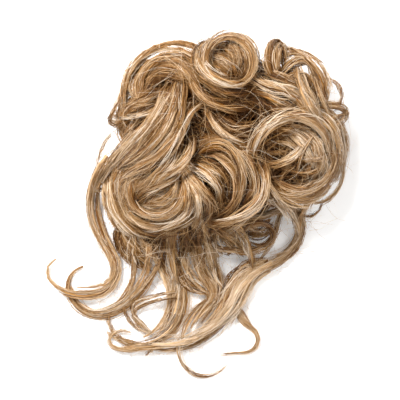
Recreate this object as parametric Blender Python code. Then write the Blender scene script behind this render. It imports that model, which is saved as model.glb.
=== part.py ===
"""A top knot hairpiece of curled hair, lying on a table and seen from above.

An elastic band sits in the underside of a domed hair pad. Curls are fused to the pad and make
the round knot, and long tendrils run out of it and lie on the table.
Metres, +Z up. The tables of locks are drawn to the knot: 100 units are the knot's width, with
0, 0 over the middle of the elastic band, +X to the right and +Y away from the tendrils.
"""

import math
from collections import namedtuple

import bmesh
import bpy
import numpy as np

# Driving sizes
KNOT_WIDTH = 0.150
KNOT_HEIGHT = 0.070
WIDEST_HEIGHT = 0.026  # where the knot's side is widest
BAND_RADIUS = 0.027  # to the middle of the elastic
BAND_WIDTH = 0.006
BAND_HEIGHT = 0.005
PAD_RADIUS = 0.045
PAD_HEIGHT = 0.054
HOLLOW_RADIUS = 0.026  # the room for the wearer's own knot of hair
HOLLOW_HEIGHT = 0.040
CURL_WIDTH = 0.0085
CURL_THICKNESS = 0.0065
FLANK_WIDTH = 0.017
TENDRIL_WIDTH = 0.0065
TENDRIL_THICKNESS = 0.0032
LIFT_SLOPE = 0.25  # how steeply a tendril climbs to cross another
GAP = 0.0004  # clearance between separate pieces
FLANK_COUNT = 14
FLANK_LEAN_DEG = 16

# Fineness of the solids
BAND_STEPS = 32
PAD_STEPS = 24
LOCK_SIDES = 6
CURL_STEP_DEG = 27
TENDRIL_STEP = 0.0075
FINE = 8  # points worked out for each one kept

UNIT = KNOT_WIDTH / 100

# Distance from the middle of the band to the knot's outline, every 30 degrees from +X
OUTLINE = (49, 51, 49, 47, 48, 46, 43, 49, 47, 40, 42, 47)

# The run of a lock under the knot: how far it leans round, how far out it is from the pad to
# the outline, and its height as a share of the widest height
FLANK_PROFILE = (
    (-1.0, 0.0, 0.00), (-0.8, 0.55, 0.00), (-0.4, 0.94, 0.22), (0.1, 1.0, 0.62),
    (0.6, 0.80, 1.05), (1.0, 0.0, 1.30),
)

# Each lock starts at x, y with a heading in degrees and runs through its bends, each a length
# and the turn made over it (anticlockwise is positive). root, crown and tip are a curl's
# heights at its start, middle and end, as shares of the knot's height there.
Curl = namedtuple("Curl", "name x y heading bends root crown tip width")
CURLS = (
    Curl("left arch", -3, 37, 165, ((61, 131),), 0.65, 1.00, 0.65, 0.9),
    Curl("left arch inner", -8, 30, 130, ((42, 158),), 0.70, 1.05, 0.75, 0.8),
    Curl("left wrap", -11, 22, 105, ((44, 206),), 0.60, 0.90, 0.65, 1.3),
    Curl("outer fall", -37, 19, -96, ((33, -30),), 0.75, 0.95, 0.70, 1.6),
    Curl("second sweep", -17, 26, -89, ((46, -63),), 0.70, 1.06, 0.75, 1.4),
    Curl("third sweep", -12, 15, -99, ((39, -72),), 0.70, 1.08, 0.80, 1.4),
    Curl("bright sweep", -13, 9, -71, ((38, -96),), 0.65, 1.12, 0.80, 1.1),
    Curl("top ring", -4, 24, 136, ((40, -204), (32, -201), (19, -171)), 0.65, 1.10, 0.85, 0.9),
    Curl("ring cradle", -10, 39, -103, ((37, 153),), 0.80, 0.95, 0.75, 1.1),
    Curl("upper arc", -8, 28, -44, ((26, 54),), 0.75, 1.00, 0.75, 1.1),
    Curl("core arc", -14, 26, -74, ((35, 103),), 0.70, 0.90, 0.70, 1.2),
    Curl("right fold", 19, 26, 121, ((12, -58), (7, -150), (10, -30)), 0.60, 1.20, 0.70, 1.0),
    Curl("right arch", 17, 37, 17, ((41, -122),), 0.60, 1.05, 0.65, 1.1),
    Curl("right arch inner", 21, 25, 68, ((34, -205),), 0.65, 1.05, 0.65, 0.9),
    Curl("bright top lock", 13, 22, 1, ((26, -42),), 0.80, 1.02, 0.80, 1.2),
    Curl("bright low lock", 8, 20, -21, ((28, -9),), 0.75, 0.92, 0.80, 1.2),
    Curl("right drop", 30, 24, -56, ((21, -13),), 0.75, 1.00, 0.80, 1.3),
    Curl("right rim", 39, 12, -32, ((39, -113),), 0.80, 0.95, 0.65, 1.3),
    Curl("cross lock", -7, 16, -79, ((36, 95),), 0.65, 0.98, 0.75, 1.2),
    Curl("nest ring", 12, -8, 85, ((22, -68), (58, -235)), 0.70, 1.10, 0.65, 1.2),
    Curl("nest second", 17, -4, 71, ((51, -251),), 0.75, 0.98, 0.60, 1.1),
    Curl("nest lock", 8, -8, -17, ((28, 75),), 0.55, 0.90, 0.75, 1.2),
    Curl("nest lower lock", 10, -17, 16, ((29, 30),), 0.55, 0.86, 0.75, 1.1),
    Curl("nest hem", 16, -17, -37, ((30, 76),), 0.65, 0.85, 0.75, 1.3),
    Curl("outer swirl", -14, -1, 18, ((53, -181),), 0.75, 1.02, 0.70, 1.3),
    Curl("front lock", 13, -4, -56, ((42, -134),), 0.80, 0.98, 0.75, 1.2),
    Curl("fan right", -16, -13, 26, ((28, -146),), 0.80, 1.00, 0.75, 1.1),
    Curl("fan middle", -17, -15, -18, ((24, -104),), 0.80, 1.04, 0.70, 1.1),
    Curl("fan left", -17, -14, -75, ((31, -152),), 0.80, 1.08, 0.75, 1.1),
    Curl("left swirl", -15, -15, -71, ((49, -207), (19, -129)), 0.75, 0.98, 0.70, 1.1),
    Curl("left rim", -43, -13, -112, ((33, 108),), 0.80, 0.85, 0.75, 1.2),
    Curl("left hem", -43, -17, -99, ((49, 156),), 0.70, 0.92, 0.70, 1.3),
    Curl("lower loop", 9, -34, 50, ((28, -309),), 0.60, 0.80, 0.60, 0.9),
    Curl("lower hem", -4, -42, -32, ((28, 89),), 0.65, 0.70, 0.60, 1.3),
)

# A tendril is part of the knot until it has run the length leaves, and from there it is a lock
# of its own. It holds its share of the knot's height, rise, up to there and lies on the table
# from lands on, crossing over those named before it.
Tendril = namedtuple("Tendril", "name x y heading bends rise leaves lands width")
TENDRILS = (
    Tendril("tendril_bottom", -6, -14, -84, ((28, -2), (12, 18), (12, -89), (25, 69), (29, 159)),
            0.24, 27, 44, 1.0),
    Tendril("tendril_middle", -15, -13, -130, ((22, 15), (22, 75), (29, -102), (13, -35)),
            0.24, 28, 46, 1.3),
    Tendril("tendril_lower_left", -20, -13, -134, ((42, 45), (15, -39), (30, -138), (13, -90)),
            0.24, 28, 48, 1.3),
    Tendril("tendril_left", -21, 20, -112, ((30, -32), (15, 19), (29, 79), (48, -205), (9, -104)),
            0.85, 47, 68, 1.2),
    Tendril("tendril_lower_right", 2, -14, -84, ((24, 21), (25, -62), (16, 93), (25, -200)),
            0.24, 27, 44, 0.9),
    Tendril("tendril_right", 13, -13, -47,
            ((15, 12), (28, -110), (34, 20), (26, -54), (17, 13), (20, -260)),
            0.28, 26, 46, 1.4),
)

HAIR_COLOUR = (0.42, 0.25, 0.12, 1.0)
HAIR_TIP_COLOUR = (0.50, 0.31, 0.16, 1.0)
BAND_COLOUR = (0.10, 0.06, 0.04, 1.0)


def clear_scene():
    for obj in list(bpy.data.objects):
        bpy.data.objects.remove(obj, do_unlink=True)


def make_material(name, colour, roughness):
    material = bpy.data.materials.new(name)
    material.use_nodes = True
    shader = material.node_tree.nodes["Principled BSDF"]
    shader.inputs["Base Color"].default_value = colour
    shader.inputs["Roughness"].default_value = roughness
    shader.inputs["Metallic"].default_value = 0.0
    return material


def make_object(name, points, faces, material):
    mesh = bpy.data.meshes.new(name)
    mesh.from_pydata([tuple(p) for p in points], [], faces)
    mesh.materials.append(material)
    mesh.shade_smooth()
    mesh.set_sharp_from_angle(angle=math.radians(50))
    obj = bpy.data.objects.new(name, mesh)
    bpy.context.scene.collection.objects.link(obj)
    return obj


def hide_as_helper(obj):
    obj.hide_render = True
    obj.display_type = "WIRE"


def lathe(name, profile, steps, closed, material):
    """Turns a profile of (radius, height) pairs about Z. A profile on the axis at both ends is
    left open there and ends in a pole, and a closed profile makes a ring."""
    angles = np.arange(steps) * 2 * math.pi / steps
    points, rows = [], []
    for radius, height in profile:
        if radius == 0:
            rows.append([len(points)] * steps)
            points.append((0, 0, height))
            continue
        rows.append([len(points) + k for k in range(steps)])
        points.extend((radius * math.cos(a), radius * math.sin(a), height) for a in angles)
    pairs = list(zip(rows, rows[1:]))
    if closed:
        pairs.append((rows[-1], rows[0]))
    faces = []
    for low, high in pairs:
        for k in range(steps):
            after = (k + 1) % steps
            corners = (low[k], low[after], high[after], high[k])
            faces.append(tuple(dict.fromkeys(corners)))
    return make_object(name, points, faces, material)


def outline_radius(x, y):
    """The knot's reach in the direction of x, y, read smoothly from the outline table."""
    turn = (math.degrees(math.atan2(y, x)) % 360) / (360 / len(OUTLINE))
    index = int(turn)
    share = (1 - math.cos((turn - index) * math.pi)) / 2
    first = OUTLINE[index % len(OUTLINE)]
    second = OUTLINE[(index + 1) % len(OUTLINE)]
    return UNIT * (first * (1 - share) + second * share)


def knot_top(x, y):
    """Height of the knot's rounded top over a place in plan."""
    reach = min(1.0, math.hypot(x, y) / outline_radius(x, y))
    return WIDEST_HEIGHT + (KNOT_HEIGHT - WIDEST_HEIGHT) * math.sqrt(1 - reach**2)


def through_three(first, middle, last, share):
    """A smooth value that is first, middle and last at shares 0, 1/2 and 1."""
    return (
        first * (1 - share) * (1 - 2 * share)
        + middle * 4 * share * (1 - share)
        + last * share * (2 * share - 1)
    )


def run_bends(x, y, heading, bends, spacing):
    """Even points in plan, in metres, on the chain of arcs that the bends describe."""
    ends = np.concatenate(([0], np.cumsum([length for length, turn in bends])))
    turned = np.concatenate(([0], np.cumsum([turn for length, turn in bends])))
    count = max(4, round(ends[-1] * UNIT / spacing))
    run = np.linspace(0, ends[-1], count * FINE + 1)
    headings = np.radians(heading + np.interp(run, ends, turned))
    middle = (headings[1:] + headings[:-1]) / 2
    step = run[1] - run[0]
    plan = np.zeros((len(run), 2))
    plan[1:, 0] = np.cumsum(np.cos(middle)) * step
    plan[1:, 1] = np.cumsum(np.sin(middle)) * step
    return run[::FINE] * UNIT, (plan[::FINE] + (x, y)) * UNIT


def curl_path(curl):
    """The centreline of a curl: its run in plan, laid over the knot's rounded top."""
    turn = sum(abs(bend[1]) for bend in curl.bends)
    length = sum(bend[0] for bend in curl.bends)
    steps = max(4, math.ceil(turn / CURL_STEP_DEG))
    run, plan = run_bends(curl.x, curl.y, curl.heading, curl.bends, length * UNIT / steps)
    path = []
    for share, (x, y) in zip(run / run[-1], plan):
        lift = through_three(curl.root, curl.crown, curl.tip, share)
        path.append((x, y, lift * (knot_top(x, y) - CURL_THICKNESS / 2)))
    return np.array(path)


def flank_path(index):
    """A lock under the knot: out along the table, up at the outline and back to the pad."""
    lean = math.radians(FLANK_LEAN_DEG) * (1 if index % 2 else -1)
    middle = 2 * math.pi * (index + 0.5) / FLANK_COUNT
    low = CURL_THICKNESS * 0.65
    path = []
    for turn, out, height in FLANK_PROFILE:
        angle = middle + lean * turn
        direction = np.array((math.cos(angle), math.sin(angle)))
        reach = outline_radius(*direction) - FLANK_WIDTH / 2
        along = PAD_RADIUS * 0.85 + (reach - PAD_RADIUS * 0.85) * out
        path.append((*(direction * along), low + WIDEST_HEIGHT * height))
    return np.array(path)


def tendril_path(tendril, laid):
    """The centreline of a tendril: down from the knot and along the table, over those laid
    before it. Returns the run of its points too, and adds the tendril to those laid."""
    run, plan = run_bends(tendril.x, tendril.y, tendril.heading, tendril.bends, TENDRIL_STEP)
    leaves, lands = UNIT * tendril.leaves, UNIT * tendril.lands
    share = np.clip((run - leaves) / (lands - leaves), 0, 1)
    hold = tendril.rise * (1 - share) ** 2 * (1 + 2 * share)
    tops = np.array([knot_top(x, y) for x, y in plan])
    heights = TENDRIL_THICKNESS / 2 + hold * tops
    widths = tapered(len(run), TENDRIL_WIDTH * tendril.width, 1.0, 0.35)
    needed = np.zeros(len(run))
    for other_plan, other_heights, other_widths in laid:
        apart = np.linalg.norm(plan[:, None] - other_plan[None], axis=2)
        reach = (widths[:, None] + other_widths[None]) / 2 + TENDRIL_STEP * 0.2
        above = other_heights + TENDRIL_THICKNESS + TENDRIL_STEP * LIFT_SLOPE
        over = np.where((apart < reach) & (run[:, None] > leaves), above[None], 0)
        needed = np.maximum(needed, over.max(axis=1))
    slopes = LIFT_SLOPE * np.abs(run[:, None] - run[None])
    heights = np.maximum(heights, (needed[None] - slopes).max(axis=1))
    free = run > leaves - TENDRIL_STEP
    laid.append((plan[free], heights[free], widths[free]))
    return run, np.column_stack((plan, heights)), widths


def sweep_lock(name, path, widths, thickness, material, side=None, level=False):
    """A flattened lock of hair along a path: an oval section that keeps its face as it runs,
    or keeps level."""
    tangents = np.gradient(path, axis=0)
    tangents /= np.linalg.norm(tangents, axis=1)[:, None]
    if side is None:
        side = np.cross((0, 0, 1), tangents[0])
    points, rings = [], []
    for centre, tangent, width in zip(path, tangents, widths):
        side = np.cross((0, 0, 1), tangent) if level else side - tangent * np.dot(side, tangent)
        side /= np.linalg.norm(side)
        face = np.cross(tangent, side)
        deep = min(thickness, width) / 2
        rings.append(list(range(len(points), len(points) + LOCK_SIDES)))
        for k in range(LOCK_SIDES):
            angle = 2 * math.pi * k / LOCK_SIDES
            across = side * math.cos(angle) * width / 2
            points.append(centre + across + face * math.sin(angle) * deep)
    faces = [tuple(reversed(rings[0])), tuple(rings[-1])]
    for low, high in zip(rings, rings[1:]):
        for k in range(LOCK_SIDES):
            after = (k + 1) % LOCK_SIDES
            faces.append((low[k], low[after], high[after], high[k]))
    return make_object(name, points, faces, material)


def tapered(count, width, root_share, tip_share):
    """Widths along a lock that swell from the root and narrow to the tip."""
    share = np.linspace(0, 1, count)
    swell = np.minimum(1, root_share + (1 - root_share) * share / 0.25)
    narrow = 1 - (1 - tip_share) * np.clip((share - 0.5) / 0.5, 0, 1) ** 1.5
    return width * swell * narrow


def make_elastic_band():
    inner = BAND_RADIUS - BAND_WIDTH / 2
    outer = BAND_RADIUS + BAND_WIDTH / 2
    corner = BAND_HEIGHT / 4
    profile = (
        (inner, 0), (outer, 0), (outer, BAND_HEIGHT - corner), (outer - corner, BAND_HEIGHT),
        (inner + corner, BAND_HEIGHT), (inner, BAND_HEIGHT - corner),
    )
    elastic = make_material("elastic", BAND_COLOUR, 0.8)
    return lathe("elastic_band", profile, BAND_STEPS, True, elastic)


def make_pad(hair):
    """The domed pad of wefts, hollow below, with the seat for the band in its rim."""
    seat_radius = BAND_RADIUS + BAND_WIDTH / 2 + GAP
    seat_height = BAND_HEIGHT + GAP
    profile = (
        (0, HOLLOW_HEIGHT),
        (HOLLOW_RADIUS * 0.55, HOLLOW_HEIGHT * 0.95),
        (HOLLOW_RADIUS * 0.90, HOLLOW_HEIGHT * 0.75),
        (HOLLOW_RADIUS, HOLLOW_HEIGHT * 0.45),
        (HOLLOW_RADIUS, seat_height),
        (seat_radius, seat_height),
        (seat_radius, 0),
        (PAD_RADIUS * 0.93, 0),
        (PAD_RADIUS, PAD_HEIGHT * 0.20),
        (PAD_RADIUS * 0.97, PAD_HEIGHT * 0.50),
        (PAD_RADIUS * 0.75, PAD_HEIGHT * 0.85),
        (PAD_RADIUS * 0.40, PAD_HEIGHT * 0.98),
        (0, PAD_HEIGHT),
    )
    return lathe("curled_knot", profile, PAD_STEPS, False, hair)


def make_hollow_cutter(hair):
    """Keeps the curls out of the hollow and off the band."""
    reach = HOLLOW_RADIUS - GAP / 2
    profile = (
        (0, -KNOT_HEIGHT / 4),
        (BAND_RADIUS + BAND_WIDTH / 2 + GAP / 2, -KNOT_HEIGHT / 4),
        (BAND_RADIUS + BAND_WIDTH / 2 + GAP / 2, BAND_HEIGHT + GAP / 2),
        (reach, BAND_HEIGHT + GAP / 2),
        (reach, HOLLOW_HEIGHT * 0.45),
        (reach * 0.90, HOLLOW_HEIGHT * 0.75 - GAP / 2),
        (reach * 0.55, HOLLOW_HEIGHT * 0.95 - GAP / 2),
        (0, HOLLOW_HEIGHT - GAP / 2),
    )
    return lathe("hollow cutter", profile, PAD_STEPS, False, hair)


def make_collection(name, objects):
    collection = bpy.data.collections.new(name)
    bpy.context.scene.collection.children.link(collection)
    for obj in objects:
        bpy.context.scene.collection.objects.unlink(obj)
        collection.objects.link(obj)
        hide_as_helper(obj)
    return collection


def add_boolean(obj, name, operation, collection):
    modifier = obj.modifiers.new(name, "BOOLEAN")
    modifier.operation = operation
    modifier.operand_type = "COLLECTION"
    modifier.collection = collection
    modifier.solver = "EXACT"
    modifier.use_self = True


def settle(obj):
    """Bakes the Booleans and makes the sealed pockets between the curls solid."""
    bpy.context.view_layer.update()
    graph = bpy.context.evaluated_depsgraph_get()
    baked = bpy.data.meshes.new_from_object(obj.evaluated_get(graph))
    work = bmesh.new()
    work.from_mesh(baked)
    left = set(work.faces)
    while left:
        seed = left.pop()
        shell, edge_of_search = {seed}, [seed]
        while edge_of_search:
            face = edge_of_search.pop()
            for edge in face.edges:
                for other in edge.link_faces:
                    if other not in shell:
                        shell.add(other)
                        edge_of_search.append(other)
        left -= shell
        if signed_volume(shell) < 0:
            bmesh.ops.delete(work, geom=list(shell), context="FACES")
    work.to_mesh(baked)
    work.free()
    baked.set_sharp_from_angle(angle=math.radians(50))
    obj.modifiers.clear()
    obj.data = baked


def signed_volume(faces):
    """The volume inside a shell of faces: below zero where the faces look inward."""
    total = 0.0
    for face in faces:
        first = face.verts[0].co
        for second, third in zip(face.verts[1:], face.verts[2:]):
            total += first.dot(second.co.cross(third.co)) / 6
    return total


def make_tendrils(hair, tips):
    """The free tendrils, with the stubs that root them in the knot and cutters that clear them."""
    free, stubs, cutters, laid = [], [], [], []
    for tendril in TENDRILS:
        run, route, widths = tendril_path(tendril, laid)
        last = int(np.argmin(np.abs(run - UNIT * tendril.leaves)))
        stub = route[: last + 1].copy()
        back = stub[-1] - stub[-2]
        stub[-1] -= GAP * back / np.linalg.norm(back)
        outside, wide = route[last:], widths[last:]
        thick = TENDRIL_THICKNESS
        name = tendril.name
        stubs.append(
            sweep_lock(name + " stub", stub, widths[: last + 1], thick, hair, level=True)
        )
        free.append(sweep_lock(name, outside, wide, thick, tips, level=True))
        cutters.append(
            sweep_lock(
                name + " room", outside, wide + 3 * GAP, thick + 3 * GAP, hair, level=True
            )
        )
    return free, stubs, cutters


def make_curls(hair):
    curls = []
    for curl in CURLS:
        path = curl_path(curl)
        widths = tapered(len(path), CURL_WIDTH * curl.width, 0.7, 0.6)
        curls.append(sweep_lock(curl.name, path, widths, CURL_THICKNESS, hair))
    for index in range(FLANK_COUNT):
        path = flank_path(index)
        widths = np.full(len(path), FLANK_WIDTH)
        across = np.cross((0, 0, 1), (*path[1][:2], 0))
        curls.append(
            sweep_lock(f"flank {index}", path, widths, CURL_THICKNESS, hair, side=across)
        )
    return curls


def stand_on_table(objects):
    """Puts the middle of the underside of everything at the origin."""
    bpy.context.view_layer.update()
    graph = bpy.context.evaluated_depsgraph_get()
    corners = np.array([c for obj in objects for c in obj.evaluated_get(graph).bound_box])
    low, high = corners.min(axis=0), corners.max(axis=0)
    empty = bpy.data.objects.new("top_knot_hairpiece", None)
    bpy.context.scene.collection.objects.link(empty)
    for obj in objects:
        obj.parent = empty
    empty.location = (-(low[0] + high[0]) / 2, -(low[1] + high[1]) / 2, -low[2])


def main():
    clear_scene()
    hair = make_material("hair", HAIR_COLOUR, 0.55)
    tips = make_material("hair_tips", HAIR_TIP_COLOUR, 0.5)
    band = make_elastic_band()
    knot = make_pad(hair)
    free, stubs, cutters = make_tendrils(hair, tips)
    locks = make_collection("locks fused to the pad", make_curls(hair) + stubs)
    clearances = make_collection("room left clear", cutters + [make_hollow_cutter(hair)])
    add_boolean(knot, "fuse", "UNION", locks)
    add_boolean(knot, "clear", "DIFFERENCE", clearances)
    settle(knot)
    stand_on_table([band, knot, *free])


main()
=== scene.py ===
import math
from collections import namedtuple

import bpy
import numpy as np
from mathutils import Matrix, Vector


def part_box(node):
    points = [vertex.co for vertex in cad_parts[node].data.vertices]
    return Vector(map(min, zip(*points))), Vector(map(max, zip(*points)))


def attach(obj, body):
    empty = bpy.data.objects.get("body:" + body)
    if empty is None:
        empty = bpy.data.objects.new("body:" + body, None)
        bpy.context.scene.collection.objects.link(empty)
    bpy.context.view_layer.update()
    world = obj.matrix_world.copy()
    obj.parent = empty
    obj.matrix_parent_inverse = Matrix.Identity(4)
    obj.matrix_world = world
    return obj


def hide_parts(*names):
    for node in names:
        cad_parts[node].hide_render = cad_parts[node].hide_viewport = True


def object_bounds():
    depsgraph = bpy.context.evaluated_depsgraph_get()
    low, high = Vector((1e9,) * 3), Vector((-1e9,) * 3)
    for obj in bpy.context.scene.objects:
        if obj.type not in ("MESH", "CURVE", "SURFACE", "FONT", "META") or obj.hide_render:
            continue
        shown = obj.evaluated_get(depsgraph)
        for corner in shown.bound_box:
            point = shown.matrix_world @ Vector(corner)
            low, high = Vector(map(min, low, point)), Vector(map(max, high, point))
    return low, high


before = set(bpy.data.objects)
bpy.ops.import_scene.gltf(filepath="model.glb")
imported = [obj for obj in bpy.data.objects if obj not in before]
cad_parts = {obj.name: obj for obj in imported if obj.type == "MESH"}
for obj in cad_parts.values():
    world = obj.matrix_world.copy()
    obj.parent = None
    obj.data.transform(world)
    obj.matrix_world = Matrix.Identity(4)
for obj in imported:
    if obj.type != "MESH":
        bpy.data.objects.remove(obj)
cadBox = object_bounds()
boxLow, boxHigh = (np.array(corner) for corner in cadBox)

# The middle of the knot is the middle of its elastic band.
bandLow, bandHigh = (np.array(corner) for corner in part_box("elastic_band"))
knotCentre = (bandLow + bandHigh)[:2] / 2

mm = 0.001
unit = 1.5 * mm  # the lock tables' unit in plan, counted from the middle of the knot, seen from above
fullTurn = 2 * math.pi
phases = (0, 6)  # radians, the range that a ripple's phase is drawn from
rng = np.random.default_rng(11)

view = {
    "aim": (-14.4, -36.0),  # mm from the middle of the knot to the middle of the picture
    "height": 1.5,
    "width": 0.240,  # what the picture spans at the level where the plan is true
    "level": 0.020,
    "sensor": 36.0,
    "near": 0.05,
    "far": 20,
}

dome = {
    "rim": 24 * mm,
    "rise": 36 * mm,
    "outline": (48, 49, 44, 42, 44, 44, 42, 48, 47, 38, 38, 45),  # units, every 30 degrees from +X
    "body": (46, 43, 38, 36, 39, 42, 41, 44, 44, 37, 37, 42),  # the same without the arches that stand off
    "lean": 0.55,  # how far a lock's face leans out with the dome
    "leastUp": 0.15,
}

# How a lock lies. On the table it stays clear of it. On the knot its tucked ends dive under the curls
# and draw in towards the middle, each by a power of how far along the tuck a point is.
lie = {
    "points": 90,
    "clearOfTable": 0.6 * mm,
    "lowest": 2 * mm,
    "dive": 9 * mm,
    "divePower": 1.3,
    "drawIn": 0.24,
    "drawInPower": 1.2,
}

# Hollows between the curls, where the hair is darkened with painted shade: x, y and reach in units,
# and how many fine hairs cross each.
hollows = {
    "under sweep": (-11, 9, 8, 26),
    "under sweep low": (-17, -3, 5, 8),
    "under gold": (17, 9, 8, 24),
    "under gold left": (8, 9, 6, 14),
    "nest": (18, -4, 7, 22),
    "nest low": (24, -15, 6, 16),
    "nest left": (16, -13, 6, 8),
    "arc left": (-5, -12, 4, 4),
    "under collar": (2, 17, 8, 22),
    "beside ring": (8, 21, 5, 10),
    "beside gold": (16, 17, 6, 10),
    "fan": (0, -24, 5, 12),
    "fan low": (-4, -34, 5, 12),
    "lower": (-12, -43, 6, 18),
    "brown": (-27, -40, 7, 10),
    "arch": (-25, 20, 6, 16),
    "arcs": (1, -16, 6, 16),
    "swirl": (-34, -24, 4, 12),
}
# Painted shade: how much the hair's tone is lowered deep in the knot and near the hollows.
paintedShade = {
    "reach": 60 * mm,
    "from": 4 * mm,
    "over": 14 * mm,
    "most": 0.28,
    "hollow": 0.38,
    "under": 5 * mm,  # above this height over the dome a hollow darkens nothing
}


Lock = namedtuple("Lock", "x y heading bends heights width tone")
Path = namedtuple("Path", "line face side")
LaidLock = namedtuple("LaidLock", "path width thick onTable")
laidLocks = []


# Value at each share from 0 to 1 on a smooth curve through evenly spaced values.
def smoothThrough(values, share):
    values = np.asarray(values, float)
    ends = np.concatenate(([2 * values[0] - values[1]], values, [2 * values[-1] - values[-2]]))
    place = np.clip(share, 0, 1) * (len(values) - 1)
    index = np.minimum(place.astype(int), len(values) - 2)
    t = place - index
    a, b, c, d = (ends[index + k] for k in range(4))
    return (2 * b + (c - a) * t + (2 * a - 5 * b + 4 * c - d) * t**2 + (3 * b - a - 3 * c + d) * t**3) / 2


# Distance from the middle of the knot to its outline in a direction, by cosine steps of the table.
def outlineReach(plan, name="outline"):
    table = np.array(dome[name], float) * unit
    turn = (np.degrees(np.arctan2(plan[:, 1], plan[:, 0])) % 360) / (360 / len(table))
    index = turn.astype(int)
    share = (1 - np.cos((turn - index) * math.pi)) / 2
    return table[index % len(table)] * (1 - share) + table[(index + 1) % len(table)] * share


# Height of the round top over a plan place: the rim plus the rise times the half circle of the reach.
def domeHeight(plan):
    reach = np.minimum(1, np.linalg.norm(plan, axis=1) / outlineReach(plan))
    return dome["rim"] + dome["rise"] * np.sqrt(1 - reach**2)


# Plan line of a chain of arcs: the heading grows evenly over each bend, and x and y are the running
# sums of its cosine and sine. Past both ends the line goes on with the same bend for the tuck.
def arcLine(startX, startY, heading, bends, tuck, count):
    lengths = np.array([length for length, turn in bends], float)
    turns = np.array([turn for length, turn in bends], float)
    whole = lengths.sum()
    knots = np.concatenate(([-tuck[0], 0], np.cumsum(lengths), [whole + tuck[1]]))
    rates = turns / lengths
    turned = np.concatenate(([-rates[0] * tuck[0], 0], np.cumsum(turns), [turns.sum() + rates[-1] * tuck[1]]))
    run = np.linspace(knots[0], knots[-1], count)
    angle = np.radians(heading + np.interp(run, knots, turned))
    middle = (angle[1:] + angle[:-1]) / 2
    step = run[1] - run[0]
    x = np.concatenate(([0], np.cumsum(np.cos(middle)) * step))
    y = np.concatenate(([0], np.cumsum(np.sin(middle)) * step))
    x += startX - np.interp(0, run, x)
    y += startY - np.interp(0, run, y)
    return run / whole, np.column_stack((x, y)) * unit


# Moves plan places along the camera's lines of sight, so that a place at any height is seen where
# the flat plan has it.
def alongSight(plan, height):
    aim = np.array(view["aim"]) * mm
    share = (view["height"] - height) / (view["height"] - view["level"])
    return aim + (plan - aim) * share[:, None]


# Unit vectors along the last axis.
def unitOf(vectors):
    return vectors / np.maximum(np.linalg.norm(vectors, axis=-1, keepdims=True), 1e-12)


# The path of a lock from its centreline. The face normal is the outward direction less its share along
# the line, and the side is their cross product.
def pathOf(line, outward):
    along = unitOf(np.gradient(line, axis=0))
    face = unitOf(outward - along * np.sum(outward * along, axis=1, keepdims=True))
    return Path(line, face, np.cross(face, along))


# Path of a row of a lock table. On the knot its heights count from the dome, and both tucked ends dive
# below it; on the table they count from z = 0.
def lockPath(row, onTable, tuck):
    share, plan = arcLine(row.x, row.y, row.heading, row.bends, tuck, lie["points"])
    lift = smoothThrough(row.heights, share) * mm
    if onTable:
        height = np.maximum(lift, lie["clearOfTable"])
    else:
        past = np.maximum(0, np.maximum(-share, share - 1)) * sum(length for length, turn in row.bends)
        tucked = np.minimum(1, past / max(*tuck, 1))
        height = domeHeight(plan) + lift - lie["dive"] * tucked ** lie["divePower"]
        height = np.maximum(height, lie["lowest"])
        plan = plan * (1 - lie["drawIn"] * tucked ** lie["drawInPower"])[:, None]
    plan = alongSight(plan, height)
    up = np.zeros((lie["points"], 3))
    up[:, 2] = 1
    if not onTable:
        outward = np.column_stack((plan / outlineReach(plan)[:, None], (height - dome["rim"]) / dome["rise"]))
        outward[:, 2] = np.maximum(outward[:, 2], dome["leastUp"])
        up = unitOf(up * (1 - dome["lean"]) + unitOf(outward) * dome["lean"])
    return pathOf(np.column_stack((plan + knotCentre, height)), up)


# Points of a line at any shares, by straight steps between its points.
def sample(line, share):
    place = np.clip(share, 0, 1) * (len(line) - 1)
    index = np.minimum(place.astype(int), len(line) - 2)
    part = (place - index)[..., None]
    return line[index] * (1 - part) + line[index + 1] * part


# Points beside a path at given shares: the line plus a way to the side and a way up from its face.
def beside(path, place, sideways, upwards):
    moved = sample(path.line, place) + sample(path.side, place) * sideways[..., None]
    return moved + sample(path.face, place) * upwards[..., None]


# Closed tubes about many lines at once, with an oval ring of sides points at each point of each line:
# a ring point is across times cos(angle) times wide plus over times sin(angle) times thin.
def tubes(lines, wide, thin, faceUp, sides, roll=0):
    count, steps = lines.shape[:2]
    along = unitOf(np.gradient(lines, axis=1))
    across = unitOf(np.cross(faceUp, along))
    over = np.cross(along, across)
    roll = np.broadcast_to(roll, (count, steps))[..., None]
    across, over = across * np.cos(roll) + over * np.sin(roll), over * np.cos(roll) - across * np.sin(roll)
    angle = np.arange(sides) * fullTurn / sides
    wide = np.broadcast_to(wide, (count, steps))[:, :, None, None]
    thin = np.broadcast_to(thin, (count, steps))[:, :, None, None]
    ring = across[:, :, None] * np.cos(angle)[:, None] * wide
    ring = ring + over[:, :, None] * np.sin(angle)[:, None] * thin
    points = lines[:, :, None] + ring
    number = np.arange(count * steps * sides).reshape(count, steps, sides)
    after = np.roll(number, -1, axis=2)
    quads = np.stack((number[:, :-1], after[:, :-1], after[:, 1:], number[:, 1:]), axis=-1)
    caps = np.concatenate((number[:, 0, ::-1], number[:, -1]))
    return points, quads.reshape(-1, 4), caps


# Painted shade: how much darker the hair is painted deep in the knot, where shade falls. Depth is the
# painted shade's reach times one less the length of (plan / outline reach, height over the rim / rise),
# and each hollow adds a round patch of painted shade that falls off as exp(-distance^2 / reach^2).
def paintedDepthShade(points):
    plan = points[:, :2] - knotCentre
    over = np.maximum(0, points[:, 2] - dome["rim"]) / dome["rise"]
    away = np.linalg.norm(plan, axis=1) / outlineReach(plan)
    depth = (1 - np.hypot(away, over)) * paintedShade["reach"]
    dark = paintedShade["most"] * np.clip((depth - paintedShade["from"]) / paintedShade["over"], 0, 1)
    for x, y, reach, hairs in hollows.values():
        near = np.exp(-np.sum((plan / unit - (x, y)) ** 2, axis=1) / reach**2)
        dark = dark + paintedShade["hollow"] * near * np.clip((depth + paintedShade["under"]) / paintedShade["under"], 0, 1)
    return dark


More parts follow.
